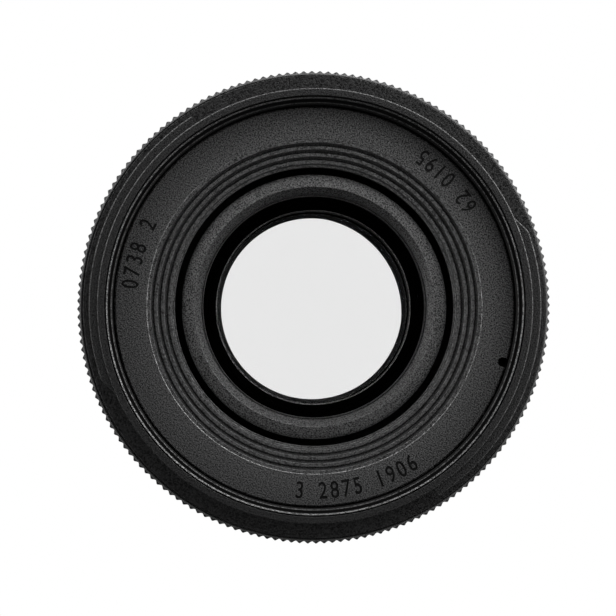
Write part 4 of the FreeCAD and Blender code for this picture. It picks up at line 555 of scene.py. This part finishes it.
# The notch's walls take the painted shade of deep gaps
cutters.append(rod("notch", NOTCH_RADIUS, PLATE_LOW - 1, PLATE_TOP + 1, gap_painted_shade,
                   place=(NOTCH_PLACE, 0)))
cutters.append(box("notch_mouth", (NOTCH_PLACE, -NOTCH_RADIUS, PLATE_LOW - 1),
                   (LIP_IN, NOTCH_RADIUS, PLATE_TOP + 1), gap_painted_shade))
carve(flat, cutters)
stands_for(join("name_plate_detail", [cone, flat]), "name_plate")


# Focus ring with its teeth

TEETH, TIP, ROOT = 180, 34.2, 33.84
TOOTH = ((-0.07, 0), (0.07, 0), (0.47, 1), (0.53, 1))
TEETH_REAR, TEETH_FRONT = 40.0, 61.35
RING_IN, RING_RELIEF, RING_SHOULDER, RING_REAR, RING_FRONT = 31.18, 31.98, 33.3, 36.0, 62.0
FACE_GROOVE_IN, FACE_GROOVE_OUT, FACE_GROOVE_LOW, FACE_GROOVE_SLANT = 33.27, 33.55, 61.6, 0.03
GRIP = [
    (RING_IN, RING_REAR), (RING_SHOULDER, RING_REAR), (ROOT, RING_REAR + 0.35),
    (ROOT, TEETH_REAR - 0.05), (ROOT, TEETH_REAR), (TIP, TEETH_REAR + 0.45), (TIP, TEETH_FRONT),
    (TIP - 0.1, TEETH_FRONT + 0.2), (ROOT + 0.01, RING_FRONT - 0.05), (33.7, RING_FRONT),
    (FACE_GROOVE_OUT + FACE_GROOVE_SLANT, RING_FRONT), (FACE_GROOVE_OUT, FACE_GROOVE_LOW),
    (FACE_GROOVE_IN, FACE_GROOVE_LOW), (FACE_GROOVE_IN - FACE_GROOVE_SLANT, RING_FRONT),
    (RING_IN, RING_FRONT), (RING_IN, 59.5), (RING_RELIEF, 58.7), (RING_RELIEF, 39.3),
    (RING_IN, 38.5)]


def toothed(name, outline, mat):
    """An outline turned round the axis, whose part outside the root circle is cut into teeth."""
    rows = []
    for number in range(TEETH):
        for place, share in TOOTH:
            angle = 360 * (number + 0.5 + place) / TEETH
            rows.append([at(r - max(0.0, r - ROOT) * share, angle, z) for r, z in outline])
    return finish_mesh(name, sweep_mesh(name, rows, True, True), mat)


stands_for(toothed("focus_ring_detail", GRIP, FINISHES["black_ring"]), "focus_ring")


# Front bezel of the moving block

BEZEL_IN, BEZEL_STEM, BEZEL_CREST, BEZEL_OUT = 16.03, 16.6, 17.25, 19.05
BEZEL_LOW, BEZEL_SHELF, BEZEL_LEDGE, BEZEL_TOP = 59.9, 61.6, 62.2, 64.0
stands_for(lathe("front_bezel_detail", [
    (BEZEL_IN, BEZEL_LOW), (BEZEL_IN, BEZEL_LEDGE), (16.12, BEZEL_LEDGE),
    (16.16, BEZEL_LEDGE - 0.25), (16.24, BEZEL_LEDGE - 0.25), (16.26, BEZEL_TOP - 1.38),
    (BEZEL_CREST, BEZEL_TOP), (BEZEL_OUT, BEZEL_TOP - 0.9), (BEZEL_OUT, BEZEL_SHELF),
    (BEZEL_STEM, BEZEL_SHELF), (BEZEL_STEM, BEZEL_LOW)],
    satin, FINE_EDGE, steps=FINE_STEPS), "front_bezel")


# Rear cover with its places for the index dot and the switch

COVER_IN, FOOT, COVER_OUT, NECK, ROOM = 28.05, 30.8, 33.4, 29.3, 31.35
COVER_REAR, COVER_FLOOR, COVER_FRONT = 1.0, 2.0, 35.7
NECK_TOP, TAPER_TOP, ROOM_LOW = 12.1, 13.0, 14.15
COVER_BEVEL, COVER_EDGE, OUTSIDE = 0.5, 0.15, 36.0
DOT_RADIUS, DOT_FLOOR, DOT_HEIGHT = 1.2, 31.0, 6.0
SWITCH_MIDDLE, PLATE_SIZE, WINDOW_SIZE = 21.0, (9.5, 12.1), (3.2, 5.1)


def opening(name, floor, size):
    """A hole for the switch: width across the lens, length along it."""
    width, length = size
    return box(name, (floor, -width / 2, SWITCH_MIDDLE - length / 2),
               (OUTSIDE, width / 2, SWITCH_MIDDLE + length / 2), cover_satin)


cover = lathe("rear_cover_detail", [
    (COVER_IN, COVER_REAR), (FOOT - COVER_BEVEL, COVER_REAR), (FOOT, COVER_REAR + COVER_BEVEL),
    (COVER_OUT, TAPER_TOP), (COVER_OUT, COVER_FRONT - COVER_BEVEL),
    (COVER_OUT - COVER_BEVEL, COVER_FRONT), (ROOM, COVER_FRONT), (ROOM, ROOM_LOW),
    (NECK, NECK_TOP), (NECK, COVER_FLOOR), (COVER_IN, COVER_FLOOR)], cover_satin, COVER_EDGE)
dot_pocket = rod("dot_pocket", DOT_RADIUS, DOT_FLOOR, OUTSIDE, cover_satin, SCREW_STEPS)
dot_pocket.data.transform(Matrix.Rotation(math.radians(-90), 4, "X"))
dot_pocket.data.transform(Matrix.Translation((0, 0, DOT_HEIGHT * MM)))
carve(cover, [opening("plate_recess", 32.0, PLATE_SIZE), opening("knob_window", 30.0, WINDOW_SIZE),
              dot_pocket])
stands_for(cover, "rear_cover")


# Metal mount with its lugs, screw holes and screws

THROAT, TUBE, TUBE_END, SPIGOT, FLANGE = 19.8, 21.7, -4.6, 28.0, 29.3
FLANGE_TOP, SPIGOT_TOP = 1.0, 2.0
SCREW_COUNT, SCREW_CIRCLE, FIRST_SCREW = 4, 25.7, 45
SCREW_HOLE, LOCK_HOLE, LOCK_ANGLE, HOLE_LOW, HOLE_TOP = 1.4, 1.3, 205, -1.0, 1.1
MOUNT_LUG = [(20.75, -4.0), (23.0, -4.0), (23.0, -2.4), (20.75, -2.4)]
MOUNT_LUGS, MOUNT_LUG_START, MOUNT_LUG_SWEEP = 3, 65, 50
SCREW_HEAD = [(1.3, 1.1), (1.3, 0.42), (1.18, 0.3)]
CROSS_REACH, CROSS_HALF, CROSS_TOP = 0.75, 0.16, 0.75

chrome, steel = FINISHES["chrome_mount"], FINISHES["steel"]
screw_places = [spot(SCREW_CIRCLE, FIRST_SCREW + 360 / SCREW_COUNT * i)
                for i in range(SCREW_COUNT)]
mount = lathe("mount_ring_body", [
    (THROAT, TUBE_END), (TUBE, TUBE_END), (TUBE, 0), (FLANGE, 0), (FLANGE, FLANGE_TOP),
    (SPIGOT, FLANGE_TOP), (SPIGOT, SPIGOT_TOP), (THROAT, SPIGOT_TOP)], chrome, COVER_EDGE)
holes = [rod("screw_hole", SCREW_HOLE, HOLE_LOW, HOLE_TOP, chrome, place=place)
         for place in screw_places]
holes.append(rod("lock_hole", LOCK_HOLE, HOLE_LOW, HOLE_TOP, chrome,
                 place=spot(SCREW_CIRCLE, LOCK_ANGLE)))
carve(mount, holes)
mount_lugs = [arc("mount_lug_%d" % i, MOUNT_LUG, chrome, MOUNT_LUG_START + 360 / MOUNT_LUGS * i,
                  MOUNT_LUG_SWEEP) for i in range(MOUNT_LUGS)]
stands_for(join("mount_ring_detail", [mount, *mount_lugs]), "mount_ring")


def cross_screw(name, place):
    """A screw seen head first from the rear, with a cross recess."""
    rows = [[at(r, 360 * i / SCREW_STEPS, z) for r, z in SCREW_HEAD] for i in range(SCREW_STEPS)]
    mesh = sweep_mesh(name, rows, True, False)
    work = bmesh.new()
    work.from_mesh(mesh)
    bmesh.ops.holes_fill(work, edges=[side for side in work.edges if side.is_boundary])
    work.to_mesh(mesh)
    work.free()
    obj = finish_mesh(name, mesh, steel)
    bars = [box("bar", (-CROSS_REACH, -CROSS_HALF, 0), (CROSS_REACH, CROSS_HALF, CROSS_TOP), steel)
            for _ in range(2)]
    bars[1].data.transform(Matrix.Rotation(math.radians(90), 4, "Z"))
    carve(obj, bars)
    obj.data.transform(Matrix.Translation(Vector((*place, 0)) * MM))
    return obj


screws = [cross_screw("mount_screw_%d" % number, place)
          for number, place in enumerate(screw_places)]
stands_for(join("mount_screws_detail", screws), "mount_screws")


# Smooth copies of the round pieces along the light path

ROUND_PIECES = {
    "iris_base": [(13.85, 42.9), (23.2, 42.9), (23.2, 43.7), (13.85, 43.7)],
    "rear_retainer": [(15.3, 20.45), (16.05, 20.45), (16.05, 22.65), (15.3, 22.65)],
    "spacer_ring": [(14.6, 52.95), (15.35, 52.95), (15.35, 57.0), (14.25, 57.0), (14.1, 56.85),
                    (14.1, 56.6), (14.6, 56.1)],
    "iris_cover": [(14.2, 46.2), (22.95, 46.2), (22.95, 46.6), (14.35, 46.6), (14.2, 46.45)],
    "rear_cell": [(23.2, 42.9), (23.2, 41.7), (17.2, 41.7), (17.2, 18.0), (16.1, 18.0),
                  (16.1, 25.7), (15.2, 25.7), (15.2, 31.2), (14.9, 31.2), (14.9, 32.2),
                  (15.4, 32.2), (15.4, 42.9)],
}
INNER_EDGE = 14.38
for node, outline in ROUND_PIECES.items():
    finish = FINISHES[NODE_SLOT[node]] if node == "iris_base" else lining
    piece = lathe(node + "_detail", outline, finish, 0.03)
    if node in ("spacer_ring", "iris_cover"):
        refinish(piece, satin, lambda radius, height: radius < INNER_EDGE)
    stands_for(piece, node)


# Glass with true spherical faces

def surface(height, rim, curve, sense, count=12):
    """A spherical face from the axis out to its rim at a height; sense +1 bulges forward."""
    plane = math.sqrt(curve * curve - rim * rim)
    radii = [rim * i / count for i in range(count + 1)]
    return [(radius, height + sense * (math.sqrt(curve * curve - radius * radius) - plane))
            for radius in radii]


SMALL, LARGE, LAST, INNER, REAR_RIM = 15.35, 16.6, 16.05, 13.9, 15.4
FRONT_JOINT, REAR_JOINT = [(SMALL, 50.3)], [(SMALL, 38.0)]
FACES = (
    (surface(59.0, LARGE, 36, 1), surface(57.0, REAR_RIM, 60, 1)),
    (surface(52.5, SMALL, 32, 1), FRONT_JOINT),
    (FRONT_JOINT, [*surface(47.6, INNER, 45, 1), (SMALL, 47.6)]),
    ([*surface(41.0, INNER, 28, -1), (SMALL, 41.0)], REAR_JOINT),
    (REAR_JOINT, surface(32.5, SMALL, 32, -1)),
    (surface(25.5, LAST, 70, 1), surface(23.0, LAST, 50, -1)))

# Two elements are cemented at each joint, and nothing mirrors there, so it has no face.
for number, (front, rear) in enumerate(FACES, 1):
    rows = [[at(r, 360 * i / GLASS_STEPS, z) for r, z in front + rear[::-1]]
            for i in range(GLASS_STEPS)]
    name = "element_%d_glass" % number
    stands_for(finish_mesh(name, sweep_mesh(name, rows, True, False), FINISHES["coated_glass"],
                           False), "element_%d" % number)


# Finishes of the other pieces; the barrel is black where the light path sees it

for node, obj in frame["nodes"].items():
    obj.data.materials.clear()
    obj.data.materials.append(FINISHES[NODE_SLOT[node]])
refinish(frame["nodes"]["lens_barrel"], lining,
         lambda radius, height: radius < 16.8 and height > 47.65)


# Camera: in front of the lens, a little off its axis, rolled as in the photograph. Points of the
# picture and its focal length are in pixels, the distance from the lip is in millimetres.

FOCAL_PIXELS, PICTURE, SENSOR = 2146.0, 616.0, 36.0
DISTANCE = 300.0
AXIS_POINT, LIP_POINT = (271.0, 339.0), (315.45, 305.8)
ROLL = 16.5
half = PICTURE / 2
axis = Vector((-(AXIS_POINT[0] - half) / FOCAL_PIXELS, (AXIS_POINT[1] - half) / FOCAL_PIXELS, 1))
axis.normalize()
across = Vector((math.cos(math.radians(-ROLL)), math.sin(math.radians(-ROLL)), 0))
across = (across - axis * across.dot(axis)).normalized()
up = axis.cross(across)
turn_part = Matrix((across, up, axis)).transposed()
lip_seen = Vector(((LIP_POINT[0] - half) / FOCAL_PIXELS * DISTANCE,
                   -(LIP_POINT[1] - half) / FOCAL_PIXELS * DISTANCE, -DISTANCE))
shift = lip_seen - turn_part @ Vector((0, 0, LIP))
part_to_camera = Matrix.Translation(shift * MM) @ turn_part.to_4x4()
camera = new_object("camera", bpy.data.cameras.new("camera"))
camera.matrix_world = part_to_camera.inverted()
camera.data.sensor_width = SENSOR
camera.data.lens = SENSOR * FOCAL_PIXELS / PICTURE
camera.data.clip_start = 0.01
camera.data.clip_end = 10
scene.camera = camera


# Lights: soft lamps close round the lens, the strongest at its side, and white ground behind

LAMP_TARGET, LAMP_DISTANCE = Vector((0, 0, 0.066)), 0.35
LAMP_SIZE, SIDE_TILT, SIDE_LAMP_SIZE = (0.25, 0.14), 84, (0.5, 0.28)

# Rings of lamps by their tilt off the axis; in a ring, the power at each angle of the picture
LAMP_RINGS = {
    32: {45: 0.23, 90: 0.05},
    50: {0: 0.3, 45: 0.54, 90: 0.48, 135: 0.43, 180: 0.31, 225: 0.12, 270: 0.17, 315: 0.24},
    68: {0: 0.38, 180: 1.25, 225: 0.16, 270: 0.03, 315: 0.29},
    SIDE_TILT: {0: 2.2, 45: 5.3, 90: 2.4, 135: 3.0},
}


def add_lamp(tilt, angle, power):
    """A lamp seen from the camera at an angle round the picture, tilted off the axis."""
    turn_a, turn_t = math.radians(angle), math.radians(tilt)
    seen = Vector((math.sin(turn_t) * math.cos(turn_a), math.sin(turn_t) * math.sin(turn_a),
                   math.cos(turn_t)))
    place = LAMP_TARGET + camera.matrix_world.to_3x3() @ seen * LAMP_DISTANCE
    name = "light_%d_%d" % (angle, tilt)
    data = bpy.data.lights.new(name, "AREA")
    data.shape = "RECTANGLE"
    data.size, data.size_y = SIDE_LAMP_SIZE if tilt == SIDE_TILT else LAMP_SIZE
    data.energy = power
    obj = new_object(name, data)
    obj.location = place
    obj.rotation_mode = "QUATERNION"
    obj.rotation_quaternion = (LAMP_TARGET - place).to_track_quat("-Z", "Y")


for tilt, ring in LAMP_RINGS.items():
    for angle, power in ring.items():
        add_lamp(tilt, angle, power)

AMBIENT, GROUND = 0.02, 1.0
world = bpy.data.worlds.new("world")
scene.world = world
world.use_nodes = True
tree = world.node_tree
tree.nodes.clear()
path = tree.nodes.new("ShaderNodeLightPath")
blend = tree.nodes.new("ShaderNodeMixShader")
out = tree.nodes.new("ShaderNodeOutputWorld")
tree.links.new(path.outputs["Is Camera Ray"], blend.inputs[0])
for entry, strength in ((1, AMBIENT), (2, GROUND)):
    white = tree.nodes.new("ShaderNodeBackground")
    white.inputs["Color"].default_value = (1, 1, 1, 1)
    white.inputs["Strength"].default_value = strength
    tree.links.new(white.outputs[0], blend.inputs[entry])
tree.links.new(blend.outputs[0], out.inputs["Surface"])
scene.view_settings.view_transform = "Standard"
